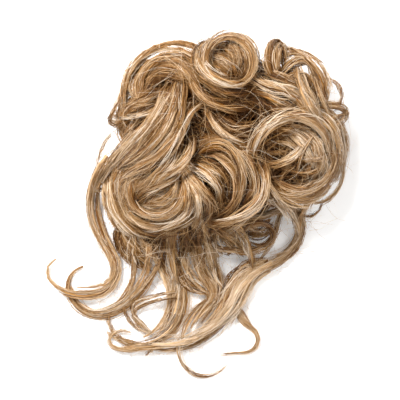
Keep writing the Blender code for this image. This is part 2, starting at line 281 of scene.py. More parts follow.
# A new node with its settings and its inputs' values.
def addNode(nodes, kind, inputs=None, **settings):
    made = nodes.new("ShaderNode" + kind)
    for key, value in settings.items():
        setattr(made, key, value)
    for key, value in (inputs or {}).items():
        made.inputs[key].default_value = value
    return made


# Hair: the tone attribute holds how fair a strand is, how far along it a point lies and a chance
# number. Colour runs from the tone by a ramp, the root is darker with painted shade where a lock comes
# out from under the others, and a noise drawn out along the strands varies it. The chance number makes
# a strand richer or more ashen.
def hairMaterial(name, settings):
    material = bpy.data.materials.new(name)
    material.use_nodes = True
    nodes, links = material.node_tree.nodes, material.node_tree.links
    shader = nodes["Principled BSDF"]
    shader.inputs["Roughness"].default_value = settings["roughness"]
    shader.inputs["Specular IOR Level"].default_value = settings["specular"]
    shader.inputs["Specular Tint"].default_value = (*settings["specularTint"], 1)
    tone = addNode(nodes, "Attribute", attribute_name="tone")
    parts = addNode(nodes, "SeparateColor")
    links.new(tone.outputs["Color"], parts.inputs["Color"])

    flow = addNode(nodes, "Attribute", attribute_name="flow")
    stretch = addNode(nodes, "VectorMath", {1: settings["streak"]}, operation="MULTIPLY")
    links.new(flow.outputs["Vector"], stretch.inputs[0])
    streaks = addNode(nodes, "TexNoise", {"Scale": 1, "Detail": 3, "Roughness": 0.7})
    links.new(stretch.outputs["Vector"], streaks.inputs["Vector"])
    depth = settings["streakDepth"]
    contrastInputs = {"From Min": 0.3, "From Max": 0.7, "To Min": -depth, "To Max": depth}
    contrast = addNode(nodes, "MapRange", contrastInputs)
    links.new(streaks.outputs["Fac"], contrast.inputs["Value"])

    fair = addNode(nodes, "Math", operation="ADD")
    links.new(parts.outputs["Red"], fair.inputs[0])
    links.new(contrast.outputs["Result"], fair.inputs[1])
    # Painted shade at the root of each lock.
    rootShadeInputs = {"From Max": settings["rootShare"], "To Min": -settings["paintedRootShade"], "To Max": 0}
    paintedRootNode = addNode(nodes, "MapRange", rootShadeInputs)
    links.new(parts.outputs["Green"], paintedRootNode.inputs["Value"])
    shaded = addNode(nodes, "Math", operation="ADD")
    links.new(fair.outputs["Value"], shaded.inputs[0])
    links.new(paintedRootNode.outputs["Result"], shaded.inputs[1])
    ramp = addNode(nodes, "ValToRGB")
    while len(ramp.color_ramp.elements) < len(settings["stops"]):
        ramp.color_ramp.elements.new(0.5)
    for element, (position, colour) in zip(ramp.color_ramp.elements, settings["stops"]):
        element.position = position
        element.color = (*colour, 1)
    links.new(shaded.outputs["Value"], ramp.inputs["Fac"])

    rich, ashen = settings["saturation"]
    richness = addNode(nodes, "MapRange", {"To Min": rich, "To Max": ashen})
    links.new(parts.outputs["Blue"], richness.inputs["Value"])
    colour = addNode(nodes, "HueSaturation")
    links.new(richness.outputs["Result"], colour.inputs["Saturation"])
    links.new(ramp.outputs["Color"], colour.inputs["Color"])
    links.new(colour.outputs["Color"], shader.inputs["Base Color"])

    bump = addNode(nodes, "Bump", {"Strength": settings["bump"], "Distance": settings["bumpDepth"]})
    links.new(streaks.outputs["Fac"], bump.inputs["Height"])
    links.new(bump.outputs["Normal"], shader.inputs["Normal"])
    return material


hairSettings = {
    "roughness": 0.42,
    "specular": 0.30,
    "specularTint": (1.0, 0.85, 0.64),
    "streak": (1.7, 0.10, 1.0),  # noise cells for each mm across and along a strand
    "streakDepth": 0.15,
    "bump": 0.5,
    "bumpDepth": 0.3 * mm,
    # Painted shade at the roots: the tone is lowered by the next value, fading out over this share.
    "rootShare": 0.3,
    "paintedRootShade": 0.13,
    "saturation": (1.09, 0.92),
    "stops": (
        (0.0, (0.046, 0.015, 0.003)),
        (0.25, (0.158, 0.063, 0.016)),
        (0.50, (0.352, 0.188, 0.070)),
        (0.75, (0.590, 0.405, 0.234)),
        (1.0, (0.775, 0.650, 0.515)),
    ),
}
hairFibre = hairMaterial("hair fibre", hairSettings)
hairBase = hairMaterial("hair base", {**hairSettings, "roughness": 0.9, "specular": 0.05})
made = {"triangles": 0}


# A smooth mesh object with the two attributes that the materials read.
def makePiece(name, material, points, faces, tones, flows):
    mesh = bpy.data.meshes.new(name)
    mesh.from_pydata(points.tolist(), [], faces)
    mesh.shade_smooth()
    tone = mesh.attributes.new("tone", "FLOAT_COLOR", "POINT")
    tone.data.foreach_set("color", tones.astype(np.float32).ravel())
    flow = mesh.attributes.new("flow", "FLOAT_VECTOR", "POINT")
    flow.data.foreach_set("vector", flows.astype(np.float32).ravel())
    mesh.materials.append(material)
    piece = bpy.data.objects.new(name, mesh)
    bpy.context.scene.collection.objects.link(piece)
    triangles = sum(len(face) - 2 for face in faces)
    made["triangles"] += triangles
    print("made", name, "with", triangles, "triangles")
    return piece


# A hair mesh in the making: arrays of points, faces, tones and flow places, joined at the end. A point's
# tone is how fair it is less the painted shade deep in the knot and in the hollows, its share along the
# lock and a chance number. Its flow is its place across the strand and along it, in mm, and a chance
# number that gives the strand streaks of its own.
streakShift = 400


class HairMesh:
    def __init__(self):
        self.points, self.faces, self.tones, self.flows, self.count = [], [], [], [], 0

    def add(self, lines, wide, thin, faceUp, sides, fair, share, roll=0, floor=0.15 * mm):
        points, quads, caps = tubes(lines, wide, thin, faceUp, sides, roll)
        points[..., 2] = np.maximum(points[..., 2], floor)
        count, steps = lines.shape[:2]
        # Painted shade: lower the tone deep in the knot and near the hollows.
        dark = paintedDepthShade(lines.reshape(-1, 3)).reshape(count, steps)
        tones = np.ones((count, steps, sides, 4), np.float32)
        tones[..., 0] = np.clip(np.clip(fair, 0, 1)[:, None] - dark, 0, 1)[..., None]
        tones[..., 1] = np.broadcast_to(share, (count, steps))[..., None]
        tones[..., 2] = rng.uniform(0, 1, count)[:, None, None]
        run = np.zeros((count, steps))
        run[:, 1:] = np.cumsum(np.linalg.norm(np.diff(lines, axis=1), axis=2), axis=1) / mm
        angle = np.arange(sides) * fullTurn / sides
        flows = np.empty((count, steps, sides, 3), np.float32)
        flows[..., 0] = np.broadcast_to(wide, (count, steps))[..., None] / mm * np.cos(angle)
        flows[..., 1] = run[..., None]
        flows[..., 2] = rng.uniform(0, streakShift, count)[:, None, None]
        self.points.append(points.reshape(-1, 3))
        self.tones.append(tones.reshape(-1, 4))
        self.flows.append(flows.reshape(-1, 3))
        self.faces += (quads + self.count).tolist()
        self.faces += (caps + self.count).tolist()
        self.count += count * steps * sides

    def build(self, name):
        points, tones, flows = (np.concatenate(parts) for parts in (self.points, self.tones, self.flows))
        return makePiece(name, hairFibre, points, self.faces, tones, flows)


# How far a lock spreads at each share of its length: full in the middle, rootShare at the root and
# tipShare at the tip. It opens evenly and closes by a power.
spreadForm = {"openBy": 0.22, "closeFrom": 0.55, "closeOver": 0.45, "closePower": 1.5}


def spread(share, rootShare, tipShare):
    root = rootShare + (1 - rootShare) * np.clip(share / spreadForm["openBy"], 0, 1)
    closing = np.clip((share - spreadForm["closeFrom"]) / spreadForm["closeOver"], 0, 1)
    return root * (1 - (1 - tipShare) * closing ** spreadForm["closePower"])


# Slow waves, each a sum of two sines with a pace, phase and size drawn by chance. The second sine of
# each is twice as fast and half as large.
waveForm = {"pace": (3, 12), "size": (0.4, 1)}


def drawWaves(count, size):
    pair = np.array((1, 2))
    return (
        rng.uniform(*waveForm["pace"], (count, 2)) * pair,
        rng.uniform(0, fullTurn, (count, 2)),
        rng.uniform(*waveForm["size"], (count, 2)) * size / pair,
    )


# Waves at their places, a row of places for each. The chosen numbers say which wave a row follows.
def waveAt(drawn, place, chosen=slice(None)):
    rate, phase, size = (part[chosen] for part in drawn)
    return sum(size[:, k, None] * np.sin(phase[:, k, None] + rate[:, k, None] * place) for k in range(2))


# Waves of their own for a count of rows.
def waves(count, place, size):
    return waveAt(drawWaves(count, size), place)


# Places, tones and sizes that end in Spread are the spread of a chance number round the value.
wisp = {
    "width": 1.5 * mm,
    "leastLock": 2.1 * mm,  # a narrower lock has strands alone
    "lockShare": (0.76, 0.85),  # of the lock's width and thickness
    "sides": 6,
    "length": (0.01, 0.97),  # from and to, in shares of the lock
    "fewerSteps": 3,
    "leastSteps": 9,
    "rootShare": 0.7,
    "tipShare": 0.7,  # of the lock's own
    "edge": 0.62,
    "edgeSpread": 0.07,
    "arch": 0.42,
    "sunk": 0.25,
    "depthSpread": 0.14,
    "wander": 0.26,
    "overlap": 1.25,
    "flat": 0.5,
    "uneven": (0.8, 1.2),
    "roll": 0.5,
    "rollWander": 0.3,
    # Painted shade under the strands: a wisp's tone is this share of the lock's, less the next value.
    "shadedShare": 0.92,
    "paintedShadeDrop": 0.06,
    "fairSpread": 0.12,
}
strand = {
    "radius": 0.15 * mm,
    "uneven": (0.65, 1.35),
    "perMm": 6.9,  # strands for each mm of a lock's width
    "least": 5,
    "rootShare": 0.75,
    "begin": 0.07,
    "end": 0.4,
    "endPower": 1.6,
    "tipFrom": 0.75,
    "tipThinner": 0.65,
    "clumpWidth": 0.8 * mm,
    "clumpEdge": 0.92,
    "clumpEdgeSpread": 0.10,
    "clumpHeight": 0.75,
    "clumpUnder": -0.6,
    "underShare": 0.22,  # of the clumps that run under the others
    "clumpDepthSpread": 0.16,
    "wander": 0.50,
    "wanderDeep": 0.65,
    "inClump": 0.36 * mm,
    "inClumpWander": 0.8,
    "looseShare": 0.12,
    "looseReach": (1.2, 2.2),
    "looseWander": 0.35,
    "looseRadius": 0.7,
    "clumpTone": 0.14,
    "toneSpread": 0.13,
}
loose = {
    "perLock": 5,
    "begin": (0.02, 0.5),
    "length": (0.35, 0.6),
    "width": (0.5, 1.3),  # mm
    "thick": 0.6,
    "strands": 4,
    "points": 40,
    "steps": 10,
    "tipShare": 0.3,
    "start": 0.4,
    "drift": 1.25,
    "ripple": 0.12,
    "ripplePace": (4, 9),
    "above": 0.45,  # of the lock's thickness
    "rise": 0.9 * mm,
    "tone": (0.02, 0.2),
}
lockForm = {
    "tableWidth": 0.86,  # of a row's width, on the table
    "tableThick": 0.42,  # of the width, on the table
    "knotThick": 0.62,  # of the width, on the knot
    "scale": 1.04,
    "darkest": 0.16,
    "fairer": 0.68,
    "turnPerStep": 18,
    "steps": (10, 24),
}


# The broad wisps under a lock's strands: flat closed ovals side by side across the lock, that overlap.
# Each lies on the arch sqrt(1 - across^2), sunk under the strands, and is painted darker than them:
# painted shade under the strands.
def addWisps(hair, path, width, thick, tone, steps, tipShare):
    count = max(2, round(width / wisp["width"]))
    share = np.linspace(*wisp["length"], steps)
    place = np.broadcast_to(share, (count, steps))
    across = np.linspace(-wisp["edge"], wisp["edge"], count) + rng.normal(0, wisp["edgeSpread"], count)
    draw = spread(share, wisp["rootShare"], tipShare)
    deep = wisp["arch"] * np.sqrt(1 - across**2) - wisp["sunk"] + rng.normal(0, wisp["depthSpread"], count)
    sideways = (across[:, None] + waves(count, place, wisp["wander"])) * draw * width / 2
    upwards = (deep[:, None] + waves(count, place, wisp["wander"])) * draw * thick / 2
    lines = beside(path, place, sideways, upwards)
    half = width / 2 / count * wisp["overlap"] * rng.uniform(*wisp["uneven"], count)[:, None] * draw
    thin = thick / 2 * wisp["flat"] * rng.uniform(*wisp["uneven"], count)[:, None] * draw
    roll = across[:, None] * wisp["roll"] + waves(count, place, wisp["rollWander"])
    # Painted shade: wisps are darker than the strands over them.
    fair = tone * wisp["shadedShare"] + rng.normal(0, wisp["fairSpread"], count) - wisp["paintedShadeDrop"]
    hair.add(lines, half, thin, sample(path.face, place), wisp["sides"], fair, place, roll)


# The strands of one lock. Each strand keeps to a small clump, and the clumps lie side by side over the
# lock's oval section, cross now and then and are drawn in towards the tip.
def addStrands(hair, path, width, thick, tone, count, steps, tipShare):
    clumps = max(2, round(width / strand["clumpWidth"]))
    share = np.linspace(0, 1, steps)
    begin = rng.uniform(0, strand["begin"], count)[:, None]
    end = 1 - rng.uniform(0, strand["end"], count)[:, None] ** strand["endPower"]
    place = begin + (end - begin) * share
    clump = rng.integers(0, clumps, count)
    edge = strand["clumpEdge"]
    clumpAcross = np.linspace(-edge, edge, clumps) + rng.normal(0, strand["clumpEdgeSpread"], clumps)
    arch = np.sqrt(np.maximum(0.05, 1 - clumpAcross**2))
    under = rng.uniform(0, 1, clumps) < strand["underShare"]
    clumpDeep = arch * np.where(under, strand["clumpUnder"], strand["clumpHeight"])
    clumpDeep = clumpDeep + rng.normal(0, strand["clumpDepthSpread"], clumps)
    across = clumpAcross[clump][:, None] + waveAt(drawWaves(clumps, strand["wander"]), place, clump)
    deep = clumpDeep[clump][:, None] + waveAt(drawWaves(clumps, strand["wanderDeep"]), place, clump)
    ownAcross = rng.normal(0, 1, (count, 1)) + waves(count, place, strand["inClumpWander"])
    across = across + ownAcross * strand["inClump"] / (width / 2)
    ownDeep = rng.normal(0, 1, (count, 1)) + waves(count, place, strand["inClumpWander"])
    deep = deep + ownDeep * strand["inClump"] / (thick / 2)
    parted = rng.uniform(0, 1, count) < strand["looseShare"]
    reach = np.where(parted, rng.uniform(*strand["looseReach"], count), 1.0)[:, None]
    across = across * reach + np.where(parted, 1, 0)[:, None] * waves(count, place, strand["looseWander"])
    draw = spread(place, strand["rootShare"], tipShare)
    lines = beside(path, place, across * draw * width / 2, deep * reach * draw * thick / 2)
    uneven = rng.uniform(*strand["uneven"], count) * np.where(parted, strand["looseRadius"], 1)
    tip = np.clip((share - strand["tipFrom"]) / (1 - strand["tipFrom"]), 0, 1) ** 2
    radii = strand["radius"] * uneven[:, None] * (1 - strand["tipThinner"] * tip)
    fair = tone + rng.normal(0, strand["clumpTone"], clumps)[clump]
    fair = fair + rng.normal(0, strand["toneSpread"], count)
    hair.add(lines, radii, radii, sample(path.face, place), 3, fair, place)


# A whole lock: wisps where it is broad enough, and strands over them.
def addLock(hair, path, width, thick, tone, steps, density=1.0, tipShare=0.4):
    if width > wisp["leastLock"]:
        wispWidth, wispThick = width * wisp["lockShare"][0], thick * wisp["lockShare"][1]
        wispSteps = max(wisp["leastSteps"], steps - wisp["fewerSteps"])
        addWisps(hair, path, wispWidth, wispThick, tone, wispSteps, tipShare * wisp["tipShare"])
    count = max(strand["least"], round(strand["perMm"] * width / mm * density))
    addStrands(hair, path, width, thick, tone, count, steps, tipShare)


# Loose wisps that part from a lock: each follows a stretch of it, and drifts off sideways by a share of
# its width that grows with the square of the wisp's own share, above the lock's face.
def addLooseWisps(hair, path, width, thick, tone):
    for k in range(loose["perLock"]):
        begin = rng.uniform(*loose["begin"])
        end = min(1, begin + rng.uniform(*loose["length"]))
        own = np.linspace(0, 1, loose["points"])
        place = begin + (end - begin) * own
        drift = rng.uniform(-loose["start"], loose["start"]) + rng.uniform(-1, 1) * loose["drift"] * own**2
        ripple = loose["ripple"] * np.sin(own * rng.uniform(*loose["ripplePace"]) + rng.uniform(*phases))
        sideways = (drift + ripple) * width
        rise = thick * loose["above"] + loose["rise"] * rng.uniform(0, 1) * own
        line = beside(path, place, sideways, rise)
        wide = rng.uniform(*loose["width"]) * mm
        thin = wide * loose["thick"]
        fair = tone + rng.normal(*loose["tone"])
        ownPath = Path(line, sample(path.face, place), sample(path.side, place))
        addStrands(hair, ownPath, wide, thin, fair, loose["strands"], loose["steps"], loose["tipShare"])


# All the locks of a table as one piece. Broader bends take more steps.
def makeLocks(name, table, onTable=False, tuck=(5, 5), density=1.0, tipShare=0.5):
    hair = HairMesh()
    for row in table.values():
        width = row.width * mm * (lockForm["tableWidth"] if onTable else 1)
        thick = width * lockForm["tableThick" if onTable else "knotThick"]
        tone = lockForm["darkest"] + lockForm["fairer"] * row.tone
        path = lockPath(row, onTable, tuck)
        turned = sum(abs(turn) for length, turn in row.bends)
        steps = int(np.clip(turned / lockForm["turnPerStep"] + len(row.heights), *lockForm["steps"]))
        addLock(hair, path, width * lockForm["scale"], thick, tone, steps, density, tipShare)
        addLooseWisps(hair, path, width, thick, tone)
        laidLocks.append(LaidLock(path, width, thick, onTable))
    return hair.build(name)


# Lock tables. A row has the start x and y in units, the heading there in degrees, the bends, each a
# length in units and the turn over it in degrees, anticlockwise positive, the heights in mm at even
# shares of the length, the width in mm and the tone, from 0 for dark to 1 for fair. The start, heading and
# bends were worked out by a fitting program from lines drawn by hand over the photograph, and rounded. The
# heights, widths and tones were chosen one by one.
# The tones are partly the hair's own colour and partly painted light and shade: low tones on locks deep in
# the hollows and under others are painted shade, and fair tones are partly painted highlight.

# Left arch: loops that spring up over the top left of the knot.
leftArchLocks = {
    "outer band": Lock(-9, 36, 150, ((42, 117), (14, 4)), (0, 7, 9, 6, -2), 4.2, 0.58),
    "thin band": Lock(-11, 33, 141, ((39, 137),), (2, 5, 5, 0), 2.6, 0.55),
    "inner band": Lock(-11, 31, 143, ((27, 104), (14, 80)), (-2, 3, 3, -4), 5.5, 0.35),
    "wrap": Lock(-13, 21, 110, ((21, 124), (8, 9)), (-5, -1, 0, -2, -4, -8), 5.0, 0.4),
    "light fold": Lock(-26, 30, 54, ((8, -84), (12, -40)), (-4, 1, 3, 2, -3), 5.0, 0.5),
    "shoulder": Lock(-33, 32, -129, ((29, 47),), (0, 3, 3, 2, 1, -4), 6.0, 0.5),
    "inner shoulder": Lock(-16, 21, 118, ((16, 115), (17, 0)), (-7, -3, -2, -2, -1, 0, -3), 5.0, 0.42),
    "low edge": Lock(-40, 19, -110, ((20, 39),), (-4, -2, -3, -4, -9), 4.0, 0.5),
    "edge fill": Lock(-38, 17, -105, ((17, 26),), (-8, -5, -6, -10), 4.5, 0.45),
    "arch inside": Lock(-18, 31, 160, ((23, 125),), (-7, -2, -2, -3, -8), 4.0, 0.5),
    "arch deep": Lock(-19, 28, 164, ((20, 136),), (-9, -5, -5, -6, -10), 4.0, 0.3),
    "soft one": Lock(-24, 19, -174, ((22, 55),), (-7, -2, 0, 0, -3), 5.5, 0.55),
    "soft two": Lock(-26, 15, -175, ((20, 37),), (-8, -2, 0, -1, -5), 5.0, 0.4),
    "soft three": Lock(-35, 28, -90, ((20, 38),), (-7, -3, -3, -3, -8), 4.5, 0.42),
    "soft across": Lock(-27, 12, -151, ((18, -41),), (-2, 3, 3, 2, -2), 2.0, 0.75),
    "fold under": Lock(-30, 27, 44, ((22, -132),), (-6, -1, 1, 0, -5), 5.0, 0.42),
    "shoulder fill": Lock(-29, 13, -148, ((18, 35),), (-9, -5, -5, -9), 6.0, 0.5),
}
# Sweep: the long locks that come out of the left arch and run down to the left.
sweepLocks = {
    "first": Lock(-22, 22, -111, ((30, -24), (19, 10)), (-6, 8, 8, 2, -6), 5.0, 0.68),
    "second": Lock(-20, 24, -96, ((14, -27), (31, -14)), (-6, 7, 9, 4, -6), 4.5, 0.45),
    "third": Lock(-18, 24, -94, ((44, -59),), (-6, 8, 10, 5, -6), 4.5, 0.55),
    "fourth": Lock(-16, 24, -88, ((44, -69),), (-6, 6, 9, 4, -6), 4.5, 0.4),
    "fifth": Lock(-14, 16, -113, ((8, 6), (33, -62)), (-5, 7, 10, 4, -6), 4.5, 0.72),
    "edge": Lock(-8, 15, -156, ((12, 50), (25, -58)), (-4, 6, 8, 2, -6), 3.4, 0.6),
    "under": Lock(-26, 11, -138, ((28, 8), (14, 26)), (-8, 1, 2, -2, -8), 5.5, 0.4),
    "low": Lock(-21, 0, -120, ((15, -35), (11, 19)), (-6, 3, 3, -4), 4.5, 0.45),
    "light one": Lock(-22, 19, -118, ((32, -20),), (0, 11, 12, 8, -2), 1.8, 0.95),
    "light two": Lock(-19, 17, -98, ((31, -49),), (2, 12, 12, 8, -3), 1.6, 0.85),
    "dark one": Lock(-20, 18, -108, ((30, -34),), (0, 9.5, 11, 7, -3), 1.5, 0.12),
    "dark two": Lock(-16, 18, -90, ((27, -48),), (0, 8.5, 10, 7, -3), 1.4, 0.12),
}
# Ring: the round curl at the top, and the locks that cradle it.
ringLocks = {
    "outer": Lock(-6, 25, 127, ((35, -201), (17, -105)), (-4, 8, 12, 10, -4), 3.8, 0.56),
    "second": Lock(1, 22, 170, ((53, -295),), (-4, 6, 9, 8, 3, -5), 2.6, 0.5),
    "inner": Lock(-4, 28, 137, ((27, -228), (5, -17)), (-6, 0, 2, 2, 2, 1, 0, -6), 3.0, 0.4),
    "core": Lock(-6, 34, 0, ((16, -82),), (-6, -2, -1, -3, -9), 4.4, 0.58),
    "cradle": Lock(-5, 40, -156, ((14, 106), (22, 71)), (-4, 4, 7, 4, -4), 4.6, 0.66),
    "cradle low": Lock(-8, 38, -146, ((13, 101), (17, 52)), (-5, 2, 4, -4), 4.5, 0.42),
    "collar": Lock(-13, 32, -72, ((33, 98),), (-5, 0, 1, -5), 5.0, 0.46),
    "collar low": Lock(-15, 28, -75, ((36, 96),), (-4, 1, 2, 0, -6), 4.2, 0.5),
    "collar inner": Lock(-12, 21, -53, ((24, 65),), (-8, -3, -3, -8), 4.2, 0.4),
    "falling": Lock(-3, 38, -7, ((17, -95),), (-7, -3, -2, -4, -9), 3.4, 0.5),
    "falling low": Lock(-6, 31, -4, ((12, -63),), (-7, -3, -3, -9), 4.4, 0.55),
    "left strands": Lock(-8, 39, -143, ((20, 116),), (-4, 3, 5, 3, -5), 3.0, 0.52),
    "falling high": Lock(-1, 39, -6, ((17, -110),), (-4, 1, 1, -2, -7), 2.4, 0.5),
    "falling mid": Lock(2, 39, -11, ((21, -127),), (-5, 2, 3, 1, -6), 3.0, 0.42),
    "falling deep": Lock(-5, 28, -1, ((8, -52),), (-8, -4, -8), 4.0, 0.5),
    "fill": Lock(-5, 37, -11, ((17, -75),), (-12, -7, -6, -8, -13), 5.5, 0.5),
}
# Right arch: the standing fold, the arches at the top right and the bright locks below them.
rightArchLocks = {
    "fold left": Lock(20, 24, 117, ((14, -40), (6, -154), (10, -12)), (-4, 6, 9, 4, -6), 4.2, 0.45),
    "fold right": Lock(22, 25, 104, ((3, -1), (7, -18), (1, 9), (7, -225)), (-4, 6, 8, 0), 4.0, 0.55),
    "outer": Lock(19, 34, 58, ((8, -77), (18, -45), (12, -63)), (-2, 7, 8, 6, -4), 3.2, 0.55),
    "second": Lock(22, 33, 44, ((8, -73), (13, -33), (14, -76)), (-3, 4, 5, 3, -6), 2.8, 0.42),
    "inner": Lock(21, 25, 62, ((8, -26), (9, -77), (18, -91)), (-5, 2, 4, 2, -6), 3.6, 0.35),
    "heart": Lock(24, 22, 78, ((15, -151), (6, -11)), (-8, -2, -1, -6), 5.0, 0.4),
    "gold": Lock(10, 26, -39, ((11, 28), (16, -32)), (-6, 3, 6, 4, -5), 5.4, 0.88),
    "gold low": Lock(9, 21, -23, ((22, 1),), (-6, 1, 3, -5), 4.2, 0.78),
    "rust": Lock(14, 28, -19, ((22, -11),), (-6, 2, 2, -5), 4.2, 0.3),
    "shelf": Lock(11, 17, -42, ((23, 63),), (-7, -1, 0, -5), 4.4, 0.5),
    "drop": Lock(29, 29, -77, ((31, 30),), (-4, 6, 7, 2, -5), 5.2, 0.7),
    "drop right": Lock(34, 31, -73, ((26, 7),), (-4, 3, 4, -4), 3.0, 0.45),
    "drop left": Lock(26, 22, -62, ((25, 21),), (-5, 2, 3, -5), 4.5, 0.6),
    "thin outside": Lock(29, 36, -10, ((29, -107),), (-3, 3, 5, 5, 3, -3), 1.8, 0.7),
    "thin inside": Lock(30, 32, -12, ((21, -106),), (-4, 1, 3, 2, -4), 1.6, 0.65),
}
# Nest: the round curl at the right and the locks outside it.
nestLocks = {
    "rim": Lock(11, -10, 94, ((28, -88), (26, -113)), (-6, 6, 10, 8, -3), 6.0, 0.62),
    "second": Lock(24, 4, 0, ((30, -130),), (-8, 0, 2, 1, -3, -8), 3.6, 0.5),
    "third": Lock(26, 1, -10, ((25, -141),), (-10, -3, -2, -3, -9), 3.2, 0.55),
    "side": Lock(42, -1, -63, ((38, -154),), (-3, 3, 4, 2, -6), 5.0, 0.75),
    "floor": Lock(39, -13, -108, ((24, -131),), (-6, 1, 1, -6), 4.5, 0.65),
    "bright": Lock(14, -12, 33, ((6, -28), (20, 79)), (-12, -5, -1, 0, 0, -2, -8), 3.0, 1.0),
    "hem": Lock(15, -13, -71, ((35, 126),), (-7, 1, 2, -5), 4.8, 0.68),
    "diagonal": Lock(15, -13, -62, ((22, 20),), (-5, 4, 3, -6), 2.6, 0.85),
    "outer first": Lock(35, 11, -21, ((32, -108),), (-2, 3, 4, 0, -5), 5.0, 0.7),
    "outer second": Lock(39, 13, -27, ((24, -80), (9, -4)), (-5, 0, 0, -3, -6), 4.0, 0.85),
    "outer thin": Lock(46, -7, -63, ((24, -107),), (-3, 0, -1, -6), 2.4, 0.95),
    "beak": Lock(37, 13, 21, ((11, -48), (4, -126), (14, 8)), (-5, 2, 2, 1, -4), 4.4, 0.62),
    "fourth": Lock(32, 4, -28, ((25, -98),), (-6, 2, 3, 0, -6), 3.4, 0.62),
    "fifth": Lock(35, 6, -32, ((28, -102),), (-6, 2, 2, 0, -6), 3.6, 0.42),
    "light cross": Lock(26, 3, -34, ((19, -43),), (-6, 2, 3, 2, -5), 2.8, 0.85),
    "hollow arc": Lock(22, -19, 97, ((14, -112),), (-14, -9, -8, -12), 2.2, 0.22),
    "hollow arc low": Lock(24, -20, 93, ((12, -111),), (-14, -8, -7, -12), 2.2, 0.16),
    "hem light": Lock(21, -17, -41, ((23, 103),), (-8, -1, 1, 0, -6), 3.4, 0.8),
    "fan a": Lock(22, 4, 1, ((26, -126),), (-9, -3, 0, 0, -3, -9), 3.0, 0.62),
    "fan b": Lock(19, 1, 15, ((24, -139),), (-12, -6, -2, -2, -5, -11), 1.8, 0.35),
    "fan c": Lock(29, 5, -14, ((27, -125),), (-6, 1, 3, 3, 1, -6), 3.2, 0.75),
    "fan d": Lock(31, 1, -43, ((22, -110),), (-7, 0, 0, -3, -9), 2.6, 0.45),
    "net a": Lock(14, -5, 55, ((20, -119),), (-10, -5, -3, -2, -5), 1.1, 0.8),
    "net b": Lock(15, -8, 71, ((15, -65),), (-10, -5, -4, -6), 1.0, 0.75),
    "net c": Lock(13, -2, -44, ((15, 73),), (-10, -6, -4, -5), 1.0, 0.75),
    "net d": Lock(19, -14, 52, ((13, -95),), (-10, -5, -4, -6), 1.2, 0.7),
    "net e": Lock(21, -17, 51, ((15, -15),), (-10, -5, -3, -3), 1.4, 0.65),
    "rim thin": Lock(15, 2, 63, ((22, -92),), (3, 10, 12, 12, 5), 1.6, 0.75),
    "cross a": Lock(30, 5, -23, ((21, -103),), (-3, 3, 3, -5), 1.2, 0.7),
    "cross b": Lock(39, 5, -138, ((23, 41),), (-3, 4, 2, -6), 1.2, 0.62),
    "cross d": Lock(26, -4, -48, ((20, 97),), (-5, 2, 4, -3), 1.4, 0.8),
    "cross e": Lock(24, -11, -38, ((21, 99),), (-7, 0, 2, -4), 1.2, 0.45),
}
# Centre: the cross lock, the fan and the arcs round it.
centreLocks = {
    "bright": Lock(-12, 3, -88, ((24, -78),), (-10, -1, 6, 9, 7, -6), 4.4, 0.72),
    "beside": Lock(-18, 4, -80, ((27, -81),), (-9, 0, 4, -5), 5.0, 0.72),
    "beside low": Lock(-21, -7, -126, ((18, -18),), (-6, 1, 2, -6), 4.4, 0.78),
    "cross": Lock(-8, 14, -73, ((26, 66),), (-8, 0, 3, 3, 0, -7), 3.2, 0.7),
    "cross low": Lock(-4, 12, -72, ((26, 97),), (-10, -4, -3, -8), 5.0, 0.42),
    "rust": Lock(1, 1, -44, ((18, 81),), (-8, -2, -2, -8), 4.8, 0.36),
    "arc first": Lock(-10, -4, 55, ((15, -103), (22, -66)), (-6, 0, 3, 5, 6, 6, 3, -7), 3.4, 0.6),
    "arc second": Lock(-10, -7, 42, ((8, -67), (36, -149)), (-9, -1, 2, 3, -1, -8), 4.6, 0.4),
    "arc third": Lock(-9, -11, 14, ((28, -168),), (-10, -4, -3, -5, -9), 3.4, 0.2),
    "arc outer": Lock(2, -1, -24, ((40, -134),), (-7, 0, 3, 3, -1, -8), 4.6, 0.36),
    "arc top": Lock(-11, -1, 31, ((26, -100),), (-10, -4, -1, 0, -1, -6), 3.4, 0.35),
    "gold": Lock(14, -8, -55, ((21, -86), (20, -39)), (-8, 4, 8, 8, 4, -6), 5.4, 0.78),
    "gold low": Lock(19, -18, -117, ((28, -42),), (-8, 3, 5, 2, -7), 4.4, 0.66),
    "fan first": Lock(-16, -13, -43, ((24, -76),), (-6, 6, 6, -2, -7), 3.6, 0.72),
    "fan second": Lock(-15, -13, -42, ((13, -20), (12, -65)), (-6, 5, 6, -2, -8), 5.0, 0.62),
    "fan third": Lock(-13, -11, -12, ((24, -89),), (-6, 3, 4, -2, -9), 4.8, 0.8),
    "fan fourth": Lock(-17, -13, -58, ((25, -90),), (-6, 5, 6, 0, -6), 4.0, 0.72),
    "fan fifth": Lock(-11, -8, 2, ((30, -133),), (-9, -1, -1, -4, -9), 3.0, 0.3),
    "dark under": Lock(-7, -22, -40, ((8, -14), (7, 76)), (-9, -6, -6, -9), 5.0, 0.05),
    "dark arc": Lock(-2, -13, -38, ((17, -87),), (-8, -4, -4, -9), 3.2, 0.08),
    "fan light": Lock(-13, -18, -52, ((14, -58),), (-4, 7, 6, -4), 1.6, 1.0),
    "stripe": Lock(-10, -10, -3, ((16, -76),), (-7, 0, 0, -6), 2.4, 0.7),
    "stripe low": Lock(-10, -12, -12, ((16, -71),), (-7, 1, 1, -6), 2.2, 0.45),
    "frill": Lock(-9, -4, 4, ((27, -114),), (-8, -1, 0, -2, -8), 2.6, 0.35),
    "arc thin": Lock(-10, -6, 45, ((24, -147),), (-6, 0, 2, 4, 3, -5), 2.2, 0.36),
    "cross soft": Lock(-4, 12, -60, ((23, 78),), (-9, -3, -1, -1, -7), 5.0, 0.36),
    "cross fine": Lock(-5, 7, -65, ((22, 92),), (-8, -1, 0, -1, -7), 2.4, 0.25),
}
